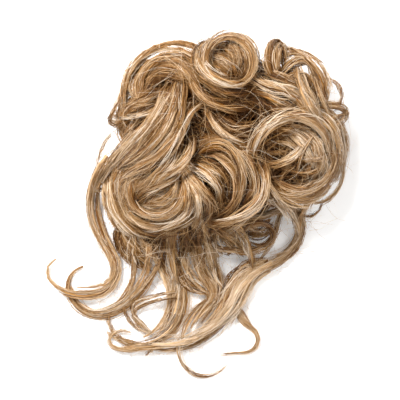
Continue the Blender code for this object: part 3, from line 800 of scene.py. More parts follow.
# Left swirl: the round curl at the lower left.
leftSwirlLocks = {
    "first": Lock(-16, -14, -85, ((10, -25), (37, -201)), (-6, 5, 7, 4, 2, -6), 5.0, 0.7),
    "second": Lock(-13, -18, -81, ((53, -213),), (-6, 2, 4, 2, 0, -6), 4.8, 0.62),
    "third": Lock(-42, -11, -125, ((36, 117),), (-6, 1, 2, 0, -1, -8), 5.0, 0.6),
    "fourth": Lock(-40, -14, -126, ((20, 86), (25, 81)), (-6, -1, 0, -1, -2, -9), 4.8, 0.48),
    "inner": Lock(-19, -14, -76, ((27, -166),), (-8, 1, 1, -4, -9), 4.4, 0.66),
    "inner low": Lock(-29, -11, -155, ((10, 46), (13, 99)), (-8, -3, -4, -9), 4.6, 0.5),
    "eye": Lock(-23, -14, -174, ((12, 38), (9, 90)), (-7, -4, -3, -5, -10), 4.6, 0.75),
    "hem": Lock(-38, -30, -44, ((33, 96),), (-8, -3, -3, -4, -9), 4.8, 0.66),
    "outer light": Lock(-46, -13, -110, ((25, 63),), (-8, -3, -4, -9), 3.6, 0.7),
    "edge under": Lock(-45, -11, -112, ((24, 85),), (-12, -11, -11, -11, -14), 6.5, 0.42),
    "edge inner": Lock(-40, -10, -128, ((26, 108),), (-11, -9, -9, -9, -12), 6.5, 0.45),
    "slit fill": Lock(-36, -11, -137, ((24, 117),), (-10, -8, -7, -8, -11), 5.0, 0.45),
    "eye fill": Lock(-17, -18, -159, ((17, 6),), (-9, -5, -4, -9), 5.0, 0.85),
    "eye fill low": Lock(-20, -22, -137, ((16, -63),), (-9, -5, -5, -10), 4.4, 0.7),
    "eye arc": Lock(-17, -16, -82, ((23, -124),), (-7, 0, 1, -1, -7), 3.0, 0.7),
    "frill": Lock(-30, -11, 180, ((21, 108),), (-8, -4, -3, -4, -9), 3.6, 0.5),
    "fill": Lock(-16, -14, -161, ((24, 22),), (-5, -1, 0, -1, -6), 4.6, 0.46),
    "fill light": Lock(-15, -11, -134, ((17, -26), (8, 27)), (-5, 1, 3, 2, -5), 1.5, 0.8),
}
# Lower locks: where the knot lets the tendrils out.
lowerLocks = {
    "right first": Lock(15, -18, -50, ((12, 15), (14, -55)), (-7, -1, -4, -10), 4.8, 0.66),
    "right second": Lock(19, -22, -19, ((22, -79),), (-8, -4, -8, -14, -19), 3.6, 0.5),
    "right third": Lock(39, -19, -144, ((22, 57),), (-6, -4, -6, -12, -18), 4.0, 0.55),
    "net": Lock(7, -37, 68, ((14, -118), (7, -103), (8, -68)), (-10, -6, -8, -12), 3.6, 0.35),
    "fork left": Lock(1, -31, -39, ((24, -49),), (-6, -3, -8, -14), 4.6, 0.7),
    "fork right": Lock(-8, -33, -20, ((26, -37),), (-8, -5, -9, -14), 4.6, 0.62),
    "u arc": Lock(-6, -42, -13, ((12, 3), (22, 93)), (-12, -10, -10, -10), 3.6, 0.45),
    "brown left": Lock(-30, -31, -85, ((20, 11),), (-9, -9, -14, -20), 7.5, 0.15),
    "brown middle": Lock(-25, -33, -94, ((19, 17),), (-9, -9, -14, -20), 7.0, 0.22),
    "brown right": Lock(-14, -33, -110, ((20, 22),), (-10, -10, -15, -20), 6.0, 0.2),
    "light left": Lock(-19, -33, -109, ((26, 43),), (-7, -7, -12, -18), 4.2, 0.78),
    "light middle": Lock(-9, -30, -73, ((25, -8),), (-7, -6, -11, -18), 4.4, 0.68),
    "light right": Lock(-4, -33, -90, ((19, 6),), (-9, -9, -14, -20), 3.8, 0.7),
    "fill": Lock(-11, -34, -91, ((26, 30),), (-10, -10, -16, -20), 5.5, 0.4),
    "knee": Lock(-35, -34, -106, ((18, 25),), (-9, -9, -14, -20), 4.4, 0.55),
    "under fill 1": Lock(-37, -33, -56, ((14, -56),), (-11, -12, -16, -21), 6.0, 0.12),
    "under fill 2": Lock(-32, -33, -105, ((14, 53),), (-11, -12, -16, -21), 6.0, 0.3),
    "under fill 3": Lock(-27, -34, -57, ((13, -59),), (-11, -12, -16, -21), 6.0, 0.2),
    "under fill 4": Lock(-22, -34, -108, ((14, 55),), (-11, -12, -16, -21), 6.0, 0.2),
    "under fill 5": Lock(-17, -34, -62, ((14, -54),), (-11, -12, -16, -21), 6.0, 0.45),
    "under fill 6": Lock(-12, -34, -110, ((15, 52),), (-11, -12, -16, -21), 6.0, 0.1),
    "under fill 7": Lock(-8, -34, -64, ((14, -55),), (-11, -12, -16, -21), 6.0, 0.45),
    "under fill 8": Lock(-3, -34, -114, ((14, 57),), (-11, -12, -16, -21), 6.0, 0.5),
    "under fill 9": Lock(2, -34, -64, ((13, -60),), (-11, -12, -16, -21), 6.0, 0.5),
    "under fill 10": Lock(7, -33, -116, ((14, 56),), (-11, -12, -16, -21), 6.0, 0.45),
    "frill one": Lock(-38, -33, -89, ((16, 45),), (-8, -9, -14, -19), 4.0, 0.6),
    "frill two": Lock(-35, -34, -72, ((16, 1),), (-8, -9, -14, -19), 4.0, 0.5),
    "left dark": Lock(-42, -36, -102, ((14, 79), (7, -39)), (-9, -12, -16, -18, -20), 3.2, 0.2),
    "fork light": Lock(-4, -34, -37, ((9, 9), (13, -57)), (-8, -7, -9, -13, -16), 3.0, 0.72),
    "net fill one": Lock(6, -32, -36, ((14, 79),), (-12, -12, -12, -12), 6.0, 0.2),
    "net fill two": Lock(9, -36, -46, ((12, 99),), (-14, -14, -14, -14), 4.0, 0.28),
    "net arc": Lock(10, -34, -44, ((12, 111),), (-8, -8, -8, -10), 1.8, 0.55),
    "net arc low": Lock(8, -39, -70, ((14, 138),), (-14, -15, -15, -15), 1.5, 0.6),
    "tan fan": Lock(-1, -34, -47, ((14, 15),), (-9, -9, -12, -16), 5.0, 0.72),
    "tan fan low": Lock(-2, -37, -57, ((15, 53),), (-11, -11, -13, -17), 4.0, 0.6),
    "dark shelf": Lock(-8, -40, -46, ((14, 52),), (-15, -14, -14, -15), 2.6, 0.15),
    "blob one": Lock(-41, -36, -84, ((17, 63),), (-10, -12, -16, -19), 5.5, 0.45),
    "blob two": Lock(-37, -38, -76, ((16, 40),), (-10, -12, -16, -19), 6.0, 0.32),
    "blob edge": Lock(-41, -44, -62, ((15, 58),), (-15, -17, -19, -20), 2.4, 0.22),
}
# Tendrils: heights from here on count from the table.
tendrilLeftLocks = {
    "main": Lock(-48, -8, -126, ((32, 65), (12, -2), (13, -91), (23, -70), (14, -147)),
        (34, 20, 5, 2, 2, 2, 2.4, 4.5, 5, 3, 2), 4.6, 0.74),
    "inner": Lock(-49, -14, -109, ((32, 56), (23, -114), (16, -40)),
        (22, 8, 3, 3, 3, 3, 3, 5, 6, 4), 3.6, 0.58),
    "edge": Lock(-51, -13, -117, ((30, 63), (8, -12), (13, -102), (11, -21)),
        (24, 8, 2, 2, 2, 3, 3, 4, 4, 4), 2.4, 0.85),
}
tendrilLowerLeftLocks = {
    "main": Lock(-26, -49, -111, ((25, -35), (25, -104), (16, -108)),
        (9, 5, 3, 2, 2, 2, 2, 2, 1.6, 1.4, 1.4), 4.2, 0.48),
    "upper": Lock(-30, -45, -92, ((29, -64), (23, -117)), (16, 7, 3, 2.4, 2.4, 2.4, 2.4, 2, 1.6), 3.6, 0.7),
    "root": Lock(-36, -38, -92, ((12, 6), (28, -83)), (20, 12, 6, 3, 2, 2, 2), 3.0, 0.6),
    "shadow": Lock(-41, -33, -126, ((20, 112), (8, -35)), (18, 12, 8, 5, 4, 4), 3.6, 0.18),
}
tendrilMiddleLocks = {
    "outer": Lock(-21, -37, -86, ((20, 16), (34, -103), (10, 6)),
        (18, 12, 6, 4, 3, 2.4, 2.4, 3, 3, 3, 3), 5.6, 0.68),
    "inner": Lock(-30, -43, -55, ((16, -14), (28, -95)), (14, 9, 5, 3, 2.4, 2.4, 2.4, 3, 3), 4.4, 0.85),
    "dark": Lock(-19, -49, -66, ((20, -39),), (9, 4, 2, 2), 3.0, 0.25),
    "cross upper": Lock(-18, -61, -179, ((17, 22), (7, 112), (10, -3)),
        (3, 7, 7, 5, 3, 3, 3, 4), 1.8, 0.75),
    "cross lower": Lock(-18, -63, 180, ((17, 27), (6, 97), (8, 13)), (3, 7, 7, 4, 3, 3, 4), 1.8, 0.6),
    "between": Lock(-20, -49, -80, ((16, -16), (14, -51)), (9, 5, 3.4, 3, 3, 3), 4.6, 0.92),
    "arc one": Lock(-40, -68, -74, ((15, 66),), (3, 2, 2, 2, 3), 1.3, 0.5),
    "arc two": Lock(-37, -66, -83, ((17, 65),), (4, 2, 2, 2, 3), 1.8, 0.35),
    "arc left": Lock(-46, -70, -100, ((14, 86), (12, 20)), (3, 2, 2, 2, 3, 4), 1.8, 0.6),
    "arc low": Lock(-45, -78, -32, ((24, 46),), (2, 2, 2, 3, 4), 2.0, 0.7),
}
tendrilBottomLocks = {
    "main": Lock(-6, -37, -93, ((18, 31), (11, -93), (23, 65)),
        (17, 11, 6, 4, 3, 3, 3, 3, 3, 5, 6), 4.4, 0.72),
    "broad": Lock(-13, -42, -66, ((19, 6), (8, -120)), (14, 10, 6, 5, 4), 5.2, 0.65),
    "tie": Lock(-18, -54, -72, ((18, 104),), (8, 6, 5, 5, 6), 2.2, 0.22),
    "curl": Lock(-18, -81, -104, ((32, 171),), (5, 7, 3, 2, 1.6, 1.4, 1.4), 2.1, 0.66),
    "fan one": Lock(-10, -42, -85, ((15, 29), (11, -78), (12, 8)), (16, 11, 7, 6, 6, 6, 5), 3.4, 0.85),
    "fan two": Lock(-5, -40, -93, ((14, 26), (14, -64), (9, 14)), (16, 11, 7, 6, 6, 5, 4), 3.0, 0.62),
    "veil": Lock(-16, -47, -77, ((15, 42), (12, -123)), (12, 8, 6, 5, 5, 5), 4.6, 0.62),
    "veil low": Lock(-18, -51, -72, ((15, 68),), (9, 6, 5, 4), 2.6, 0.35),
    "light strand": Lock(-5, -37, -105, ((24, 52),), (17, 13, 9, 8, 7), 2.6, 0.95),
    "veil mid": Lock(-12, -45, -84, ((14, 38), (15, -113)), (13, 9, 7, 6, 5, 5), 4.6, 0.72),
}
tendrilRightLocks = {
    "main": Lock(29, -26, -64, ((27, -94), (27, 42), (34, -72)),
        (17, 10, 5, 4, 5, 7, 8, 8, 6, 5, 5, 5, 5, 5, 4), 4.8, 0.75),
    "outer": Lock(31, -29, -72, ((19, -67), (15, -19)), (11, 6, 4, 4, 6, 8), 2.4, 0.6),
    "light": Lock(17, -50, -152, ((18, 37), (43, -75)), (9, 9, 9, 8, 7, 6, 7, 8, 7, 6), 6.0, 1.0),
    "low edge": Lock(9, -58, -117, ((18, -12), (33, -64)), (4, 3, 3, 3, 3, 4, 4), 3.2, 0.55),
    "slip": Lock(27, -26, -53, ((28, -115),), (16, 10, 6, 5, 6, 8), 2.6, 0.7),
    "end": Lock(-14, -81, -171, ((24, -5), (6, -23), (8, -143), (8, -48)),
        (5, 6, 6, 6, 5, 4, 3, 3, 4), 2.4, 0.6),
    "inside": Lock(24, -27, -127, ((8, 27), (17, -35)), (14, 9, 6, 5, 6, 8), 2.4, 0.8),
    "fold edge": Lock(6, -51, -152, ((14, 66),), (8, 8, 7, 6), 2.0, 0.12),
    "fold wide": Lock(15, -49, -172, ((17, 64), (19, -34)), (8, 8, 8, 7, 6, 5, 5), 6.5, 0.82),
    "fold low": Lock(16, -53, -152, ((9, 35), (22, -25)), (5, 5, 5, 4, 4, 4), 5.0, 0.85),
}
tendrilLowerRightLocks = {
    "main": Lock(9, -40, -61, ((20, -68), (19, 101), (13, -146), (12, -2)),
        (18, 12, 7, 4, 3, 2, 2, 2, 1.6, 1.6, 1.6), 2.8, 0.55),
    "inner": Lock(10, -49, -141, ((12, 23), (7, -33), (18, 42)), (8, 6, 5, 5, 5, 5, 5, 6), 3.4, 0.5),
    "sliver": Lock(-0, -64, -114, ((22, -30),), (5, 5, 5, 6), 3.2, 0.6),
    "tail": Lock(4, -64, -61, ((15, 10),), (4, 3, 3), 1.6, 0.7),
}
# Stray loops: single thin strands that stand off the outline.
strayLocks = {
    "left loop": Lock(-40, 19, -118, ((11, -5), (6, 146), (15, -10)),
        (38, 36, 34, 32, 34, 38, 44), 1.3, 0.45),
    "left loop two": Lock(-41, 17, -130, ((10, 29), (1, 105), (8, 17)), (36, 35, 33, 32, 36), 0.9, 0.6),
    "right loop": Lock(39, 24, 15, ((21, -189),), (34, 36, 35, 33, 31, 29), 1.1, 0.4),
    "lower loop": Lock(39, -23, -76, ((16, -151),), (20, 17, 15, 16), 0.8, 0.25),
    "left wisp": Lock(-43, 4, -146, ((19, 63),), (26, 24, 22, 20), 0.9, 0.7),
    "bottom wisp": Lock(-26, -81, -135, ((8, 0),), (5, 4, 3), 0.9, 0.5),
}


# Every piece rides on the one body, and most take the place of a plain node.
def dress(piece, slot, *nodes):
    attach(piece, "root")
    if nodes:
        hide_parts(*nodes)


for name, table in (
    ("left_arch_hair", leftArchLocks),
    ("sweep_hair", sweepLocks),
    ("top_ring_hair", ringLocks),
    ("right_arch_hair", rightArchLocks),
    ("nest_hair", nestLocks),
    ("centre_hair", centreLocks),
    ("left_swirl_hair", leftSwirlLocks),
):
    dress(makeLocks(name, table), "hair", "curled_knot")
dress(makeLocks("lower_hair", lowerLocks, tuck=(5, 0), density=0.75, tipShare=0.25), "hair", "curled_knot")

for node, table in (
    ("tendril_left", tendrilLeftLocks),
    ("tendril_lower_left", tendrilLowerLeftLocks),
    ("tendril_middle", tendrilMiddleLocks),
    ("tendril_bottom", tendrilBottomLocks),
    ("tendril_right", tendrilRightLocks),
    ("tendril_lower_right", tendrilLowerRightLocks),
):
    piece = makeLocks(node + "_hair", table, onTable=True, tuck=(3, 0), density=1.1, tipShare=0.3)
    dress(piece, "hair_tips", node)

dress(makeLocks("stray_loops", strayLocks, onTable=True, tuck=(0, 0)), "hair")

# Inner hair: arcs in the hollows between the curls, dark with painted shade.
innerHair = {
    "count": 52,
    "reach": 0.82,
    "goldenTurn": 2.39996,
    "length": (15, 30),
    "turn": (40, 170),
    "back": 2.4,  # an arc is moved back by its length over this
    "headingSpread": 40,
    "height": (-15, -6),
    "ends": 5,  # mm that both ends lie lower
    "tuck": (3, 3),
    "width": (4.5, 6.5),
    "thick": 0.6,
    # Painted shade: the inner hair's dark tones stand for shade in the hollows.
    "tone": (0.0, 0.26),
    "steps": 11,
    "density": 0.28,
}


# Place i of n lies at the reach times sqrt((i + 0.5) / n), and each is a golden turn on from the last,
# which fills the dome evenly. An arc is moved back so that its middle is about over its place.
def makeInnerHair(name):
    hair = HairMesh()
    for i in range(innerHair["count"]):
        away = innerHair["reach"] * math.sqrt((i + 0.5) / innerHair["count"])
        angle = i * innerHair["goldenTurn"]
        direction = np.array([[math.cos(angle), math.sin(angle)]])
        x, y = (direction * outlineReach(direction, "body") * away / unit)[0]
        length = rng.uniform(*innerHair["length"])
        turn = rng.uniform(*innerHair["turn"]) * rng.choice((-1, 1))
        heading = math.degrees(angle) + 90 * np.sign(turn) + rng.normal(0, innerHair["headingSpread"])
        back = math.radians(heading + turn / 2)
        x -= math.cos(back) * length / innerHair["back"]
        y -= math.sin(back) * length / innerHair["back"]
        top = rng.uniform(*innerHair["height"])
        heights = (top - innerHair["ends"], top, top, top - innerHair["ends"])
        row = Lock(x, y, heading, ((length, turn),), heights, 0, 0)
        path = lockPath(row, False, innerHair["tuck"])
        plan = path.line[:, :2] - knotCentre
        over = np.linalg.norm(plan, axis=1) / outlineReach(plan, "body") / innerHair["reach"]
        path.line[:, :2] = knotCentre + plan / np.maximum(1, over)[:, None]
        width = rng.uniform(*innerHair["width"]) * mm
        tone = rng.uniform(*innerHair["tone"])
        thick = width * innerHair["thick"]
        addLock(hair, path, width, thick, tone, innerHair["steps"], innerHair["density"])
    return hair.build(name)


dress(makeInnerHair("inner_hair"), "hair", "curled_knot")

# Side curls come down the flank from under the top curls to the table, and garlands wind round it.
# Reaches are shares of the body's outline and heights are in mm, both at even shares of the length.
flank = {"points": 70, "ripple": 0.05, "ripplePace": (5, 9), "faceUp": 0.25}
sideCurls = {
    "count": 40,
    "startSpread": 0.05,
    "sweep": (12, 55),
    "start": 0.70,  # the reach at the top, and then how much less than wide it is
    "wide": (0.86, 0.93),
    "less": (0.04, 0, 0.03, 0.12),
    "top": (34, 42),
    "height": (29, 17, 7, 3),  # after the top
    "width": (5.5, 8.0),
    "tone": (0.4, 0.82),
    "steps": 12,
    "density": 0.42,
    "thick": 0.5,
}
garlands = {
    "count": 20,
    "startSpread": 0.1,
    "sweep": (35, 75),
    "level": (5, 24),
    "reach": (0.80, 0.91, 0.95, 0.92, 0.82),
    "height": (8, 4, -2, 2, 8),
    "width": (3.5, 5.5),
    "fairer": 0.1,
    "steps": 13,
    "density": 0.6,
}


# Path down or along the flank: the angle round the knot grows evenly with the share t, with a ripple
# of sin(pace t + phase), and the reach and the height are smooth curves through their values.
def flankPath(start, sweep, reach, height):
    t = np.linspace(0, 1, flank["points"])
    ripple = flank["ripple"] * np.sin(t * rng.uniform(*flank["ripplePace"]) + rng.uniform(*phases))
    angle = start + sweep * t + ripple
    direction = np.column_stack((np.cos(angle), np.sin(angle)))
    plan = direction * (outlineReach(direction, "body") * smoothThrough(reach, t))[:, None]
    line = np.column_stack((plan + knotCentre, smoothThrough(height, t) * mm))
    return pathOf(line, np.column_stack((direction, np.full(len(t), flank["faceUp"]))))


# The curls start at even angles round the knot, and every third one turns the other way. The garlands
# start at even angles too, and turn either way by chance.
def makeSideCurls(name):
    hair = HairMesh()
    for i in range(sideCurls["count"]):
        start = i * fullTurn / sideCurls["count"] + rng.normal(0, sideCurls["startSpread"])
        sweep = math.radians(rng.uniform(*sideCurls["sweep"])) * (1 if i % 3 else -1)
        wide = rng.uniform(*sideCurls["wide"])
        reach = (sideCurls["start"], *(wide - less for less in sideCurls["less"]))
        path = flankPath(start, sweep, reach, (rng.uniform(*sideCurls["top"]), *sideCurls["height"]))
        width = rng.uniform(*sideCurls["width"]) * mm
        thick = width * sideCurls["thick"]
        tone = rng.uniform(*sideCurls["tone"])
        addLock(hair, path, width, thick, tone, sideCurls["steps"], sideCurls["density"])
        laidLocks.append(LaidLock(path, width, thick, False))
    for i in range(garlands["count"]):
        start = i * fullTurn / garlands["count"] + rng.normal(0, garlands["startSpread"])
        sweep = math.radians(rng.uniform(*garlands["sweep"])) * rng.choice((-1, 1))
        level = rng.uniform(*garlands["level"])
        path = flankPath(start, sweep, garlands["reach"], [level + more for more in garlands["height"]])
        width = rng.uniform(*garlands["width"]) * mm
        tone = rng.uniform(*sideCurls["tone"]) + garlands["fairer"]
        addLock(hair, path, width, width * sideCurls["thick"], tone, garlands["steps"], garlands["density"])
    return hair.build(name)


dress(makeSideCurls("side_curls"), "hair", "curled_knot")

# Frizz: single fine hairs that leave the locks. Swing, ripple and rise are in radians, and bend,
# ripplePace and fall in radians for each metre of the hair.
frizz = {
    "count": 1700,
    "onTable": 860,
    "clearOfEnds": 5,  # points of the lock's path
    "across": (-0.5, 0.5),  # of the lock's width, where a hair starts
    "above": (0.1, 0.55),  # of its thickness
    "room": 10 * mm,
    "radius": 0.066 * mm,
    "uneven": (0.7, 1.3),
    "taper": (1, 0.5),
    "steps": 8,
    "length": (9, 34),  # mm
    "tone": (0.35, 1.0),
    "swing": 0.6,
    "bend": 30,
    "ripple": 0.25,
    "ripplePace": 300,
    "rise": (0.10, 0.16),
    "fall": (-14, 12),
    "lowest": 0.3 * mm,
    "clearOfTable": 0.1 * mm,
}


# Each hair starts on a lock, turns off its line by a little and keeps bending: its direction is worked
# out from the swing in the lock's face and the rise off it, in the lock's own frame at the start, and
# its line is the running sum of that. A hair that leaves the CAD box by more than the room is dropped.
def makeFrizz(name, locks, count):
    lengths = np.array([np.linalg.norm(np.diff(lock.path[0], axis=0), axis=1).sum() for lock in locks])
    chosen = rng.choice(len(locks), count, p=lengths / lengths.sum())
    starts = np.empty((count, 3))
    frames = np.empty((count, 3, 3))
    for k, index in enumerate(chosen):
        (line, face, side), width, thick = locks[index][:3]
        at = rng.integers(frizz["clearOfEnds"], len(line) - frizz["clearOfEnds"])
        along = unitOf(line[at + 1] - line[at - 1]) * rng.choice((-1, 1))
        starts[k] = line[at] + side[at] * rng.uniform(*frizz["across"]) * width
        starts[k] += face[at] * rng.uniform(*frizz["above"]) * thick
        frames[k] = along, np.cross(face[at], along), face[at]
    steps = frizz["steps"]
    run = np.linspace(0, 1, steps) * (rng.uniform(*frizz["length"], count) * mm)[:, None]
    swing = rng.normal(0, frizz["swing"], (count, 1)) + run * rng.normal(0, frizz["bend"], (count, 1))
    swing = swing + frizz["ripple"] * np.sin(run * frizz["ripplePace"] + rng.uniform(*phases, (count, 1)))
    rise = rng.normal(*frizz["rise"], (count, 1)) + run * rng.normal(*frizz["fall"], (count, 1))
    step = run[:, 1] - run[:, 0]
    heading = (
        (np.cos(swing) * np.cos(rise))[..., None] * frames[:, None, 0]
        + (np.sin(swing) * np.cos(rise))[..., None] * frames[:, None, 1]
        + np.sin(rise)[..., None] * frames[:, None, 2]
    )
    lines = starts[:, None] + np.cumsum(heading, axis=1) * step[:, None, None]
    lines[..., 2] = np.maximum(lines[..., 2], frizz["lowest"])
    near = np.all((lines > boxLow - frizz["room"]) & (lines < boxHigh + frizz["room"]), axis=(1, 2))
    lines, frames, count = lines[near], frames[near], near.sum()
    radii = frizz["radius"] * rng.uniform(*frizz["uneven"], (count, 1)) * np.linspace(*frizz["taper"], steps)
    hair = HairMesh()
    up = np.broadcast_to(frames[:, None, 2], lines.shape)
    fair = rng.uniform(*frizz["tone"], count)
    hair.add(lines, radii, radii, up, 3, fair, np.linspace(0, 1, steps), floor=frizz["clearOfTable"])
    return hair.build(name)


knotLocks = [lock for lock in laidLocks if not lock.onTable]
tableLocks = [lock for lock in laidLocks if lock.onTable]
dress(makeFrizz("frizz", knotLocks, frizz["count"]), "hair")
dress(makeFrizz("tendril_frizz", tableLocks, frizz["onTable"]), "hair_tips")

# Hollow frizz: fine hairs that cross the hollows. Lengths are in units and heights in mm.
hollowFrizz = {
    "more": 1.7,  # times the hollows' own numbers of hairs
    "steps": 11,
    "startSpread": 0.5,
    "length": (8, 22),
    "bend": 0.085,
    "ripple": 0.15,
    "ripplePace": 0.4,
    "height": (-8, 2),
    "slope": 0.25,
    "radius": 0.08 * mm,
    "tone": (0.45, 1.0),
}


# Each hair runs through a chance place near the middle of its hollow. Its angle is the heading plus
# the run times a bend plus a small sine, its plan the running sums of the angle's cosine and sine,
# and its height the dome's plus a lift that slopes with the run.
def makeHollowFrizz(name):
    more = hollowFrizz["more"]
    rows = [(x, y, reach) for x, y, reach, hairs in hollows.values() for k in range(round(hairs * more))]
    middle = np.array(rows, float)
    count, steps = len(rows), hollowFrizz["steps"]
    start = middle[:, :2] + rng.normal(0, hollowFrizz["startSpread"], (count, 2)) * middle[:, 2:]
    heading = rng.uniform(0, fullTurn, (count, 1))
    length = rng.uniform(*hollowFrizz["length"], (count, 1))
    run = np.linspace(-0.5, 0.5, steps) * length
    angle = heading + run * rng.normal(0, hollowFrizz["bend"], (count, 1))
    phase = rng.uniform(*phases, (count, 1))
    angle = angle + hollowFrizz["ripple"] * np.sin(run * hollowFrizz["ripplePace"] + phase)
    step = length / (steps - 1)
    x = start[:, :1] + (np.cumsum(np.cos(angle), axis=1) - steps / 2 * np.cos(heading)) * step
    y = start[:, 1:] + (np.cumsum(np.sin(angle), axis=1) - steps / 2 * np.sin(heading)) * step
    plan = np.stack((x, y), axis=-1).reshape(-1, 2) * unit
    lift = rng.uniform(*hollowFrizz["height"], (count, 1))
    lift = lift + run * rng.normal(0, hollowFrizz["slope"], (count, 1))
    height = domeHeight(plan) + lift.ravel() * mm
    plan = alongSight(plan, height)
    lines = np.column_stack((plan + knotCentre, height)).reshape(count, steps, 3)
    radii = hollowFrizz["radius"] * rng.uniform(*frizz["uneven"], (count, 1)) * np.ones(steps)
    hair = HairMesh()
    up = np.broadcast_to(np.array((0, 0, 1.0)), lines.shape)
    fair = rng.uniform(*hollowFrizz["tone"], count)
    hair.add(lines, radii, radii, up, 3, fair, np.full(steps, 0.5), floor=frizz["clearOfTable"])
    return hair.build(name)


dress(makeHollowFrizz("hollow_frizz"), "hair", "curled_knot")

# Core: a dome of hair under the curls, so that no light comes through between them, painted at the
# darkest tone as shade in the gaps.
core = {
    "steps": 96,
    # Painted shade: the core takes the darkest tone.
    "tone": 0.0,
    "follow": 66 * mm,  # the outline's reach where the profile holds as it is
    "roundWithin": 32 * mm,  # the hollow inside this radius stays a circle
    "flutes": 24,
    "fluteDepth": 0.02,
    "profile": (  # radius and height in mm, with the hollow for the wearer's own hair first
        (0, 36), (14, 35), (23, 29), (26, 18), (26, 5.6), (31, 5.6), (31, 0.3), (44, 0.3), (50, 4), (52, 12),
        (50, 20), (45, 28), (35, 35), (24, 39), (12, 41), (0, 41.5),
    ),
}


# A lathe of the profile: each ring point is the radius times (cos, sin) of its angle, and outside the
# hollow the radius follows the knot's outline, with a small sine for the locks.
def makeCore(name):
    profile = np.array(core["profile"], float) * mm
    angle = np.arange(core["steps"]) * fullTurn / core["steps"]
    direction = np.column_stack((np.cos(angle), np.sin(angle)))
    follow = outlineReach(direction, "body") / core["follow"]
    follow = follow * (1 + core["fluteDepth"] * np.sin(angle * core["flutes"]))
    rings = profile[1:-1]
    outer = rings[:, :1] > core["roundWithin"]
    radius = rings[:, :1] * np.where(outer, follow[None], 1)
    height = np.repeat(rings[:, 1:], core["steps"], axis=1)
    ring = np.stack((radius * np.cos(angle), radius * np.sin(angle), height), axis=-1)
    points = np.concatenate(([[0, 0, profile[0, 1]]], ring.reshape(-1, 3), [[0, 0, profile[-1, 1]]]))
    points[:, :2] += knotCentre
    number = 1 + np.arange(ring.shape[0] * core["steps"]).reshape(ring.shape[:2])
    after = np.roll(number, -1, axis=1)
    faces = np.stack((number[:-1], after[:-1], after[1:], number[1:]), axis=-1).reshape(-1, 4).tolist()
    faces += [(0, b, a) for a, b in zip(number[0].tolist(), after[0].tolist())]
    faces += [(len(points) - 1, a, b) for a, b in zip(number[-1].tolist(), after[-1].tolist())]
    tones = np.ones((len(points), 4))
    tones[:, 0] = core["tone"]
    tones[:, 2] = 0.5
    return makePiece(name, hairBase, points, faces, tones, points / mm)


dress(makeCore("weft_pad"), "hair", "curled_knot")

# Weft rows: flat rounds of hair on the pad's underside, outside the elastic band.
weftRows = {
    "radii": (34.0, 38.0, 42.0, 46.0),  # mm
    "points": 120,
    "width": 4.4 * mm,
    "thick": 1.2 * mm,
    "height": 1.3 * mm,
    "tone": (0.25, 0.5),
    "steps": 40,
    "density": 0.28,
}


# Each row goes once round the knot, at its radius times the outline's share in that direction.
def makeWeftRows(name):
    hair = HairMesh()
    count = weftRows["points"]
    angle = np.linspace(0, fullTurn, count)
    outward = np.column_stack((np.cos(angle), np.sin(angle)))
    down = np.column_stack((np.zeros((count, 2)), -np.ones(count)))
    for radius in weftRows["radii"]:
        reach = radius * mm * outlineReach(outward, "body") / core["follow"]
        line = np.column_stack((outward * reach[:, None] + knotCentre, np.full(count, weftRows["height"])))
        tone = rng.uniform(*weftRows["tone"])
        size = weftRows["width"], weftRows["thick"]
        addLock(hair, pathOf(line, down), *size, tone, weftRows["steps"], weftRows["density"], tipShare=1)
    return hair.build(name)


dress(makeWeftRows("weft_rows"), "hair", "curled_knot")

# Elastic band
elastic = {
    "width": 6 * mm,
    "ribs": 110,
    "stepsPerRib": 3,
    "depth": 0.25 * mm,
    "section": 16,
    "flat": 0.5,
    "thread": 0.55,  # mm
    "dark": (0.055, 0.032, 0.020),
    "light": (0.165, 0.105, 0.070),
    "roughness": 0.75,
    "bumpDepth": 0.2 * mm,
}


# Woven elastic: the product of two sines, one across the threads and one along them, lightens
# and raises each stitch.
def wovenMaterial(name):
    material = bpy.data.materials.new(name)
    material.use_nodes = True
    nodes, links = material.node_tree.nodes, material.node_tree.links
    flow = addNode(nodes, "Attribute", attribute_name="flow")
    turns = addNode(nodes, "VectorMath", {"Scale": fullTurn / elastic["thread"]}, operation="SCALE")
    links.new(flow.outputs["Vector"], turns.inputs[0])
    sines = addNode(nodes, "VectorMath", operation="SINE")
    links.new(turns.outputs["Vector"], sines.inputs[0])
    parts = addNode(nodes, "SeparateXYZ")
    links.new(sines.outputs["Vector"], parts.inputs["Vector"])
    stitch = addNode(nodes, "Math", {2: 0.5}, operation="MULTIPLY_ADD")
    links.new(parts.outputs["X"], stitch.inputs[0])
    links.new(parts.outputs["Y"], stitch.inputs[1])
    colour = addNode(nodes, "Mix", data_type="RGBA")
    colour.inputs["A"].default_value = (*elastic["dark"], 1)
    colour.inputs["B"].default_value = (*elastic["light"], 1)
    links.new(stitch.outputs["Value"], colour.inputs["Factor"])
    bump = addNode(nodes, "Bump", {"Distance": elastic["bumpDepth"]})
    links.new(stitch.outputs["Value"], bump.inputs["Height"])
    shader = nodes["Principled BSDF"]
    shader.inputs["Roughness"].default_value = elastic["roughness"]
    links.new(colour.outputs["Result"], shader.inputs["Base Color"])
    links.new(bump.outputs["Normal"], shader.inputs["Normal"])
    return material


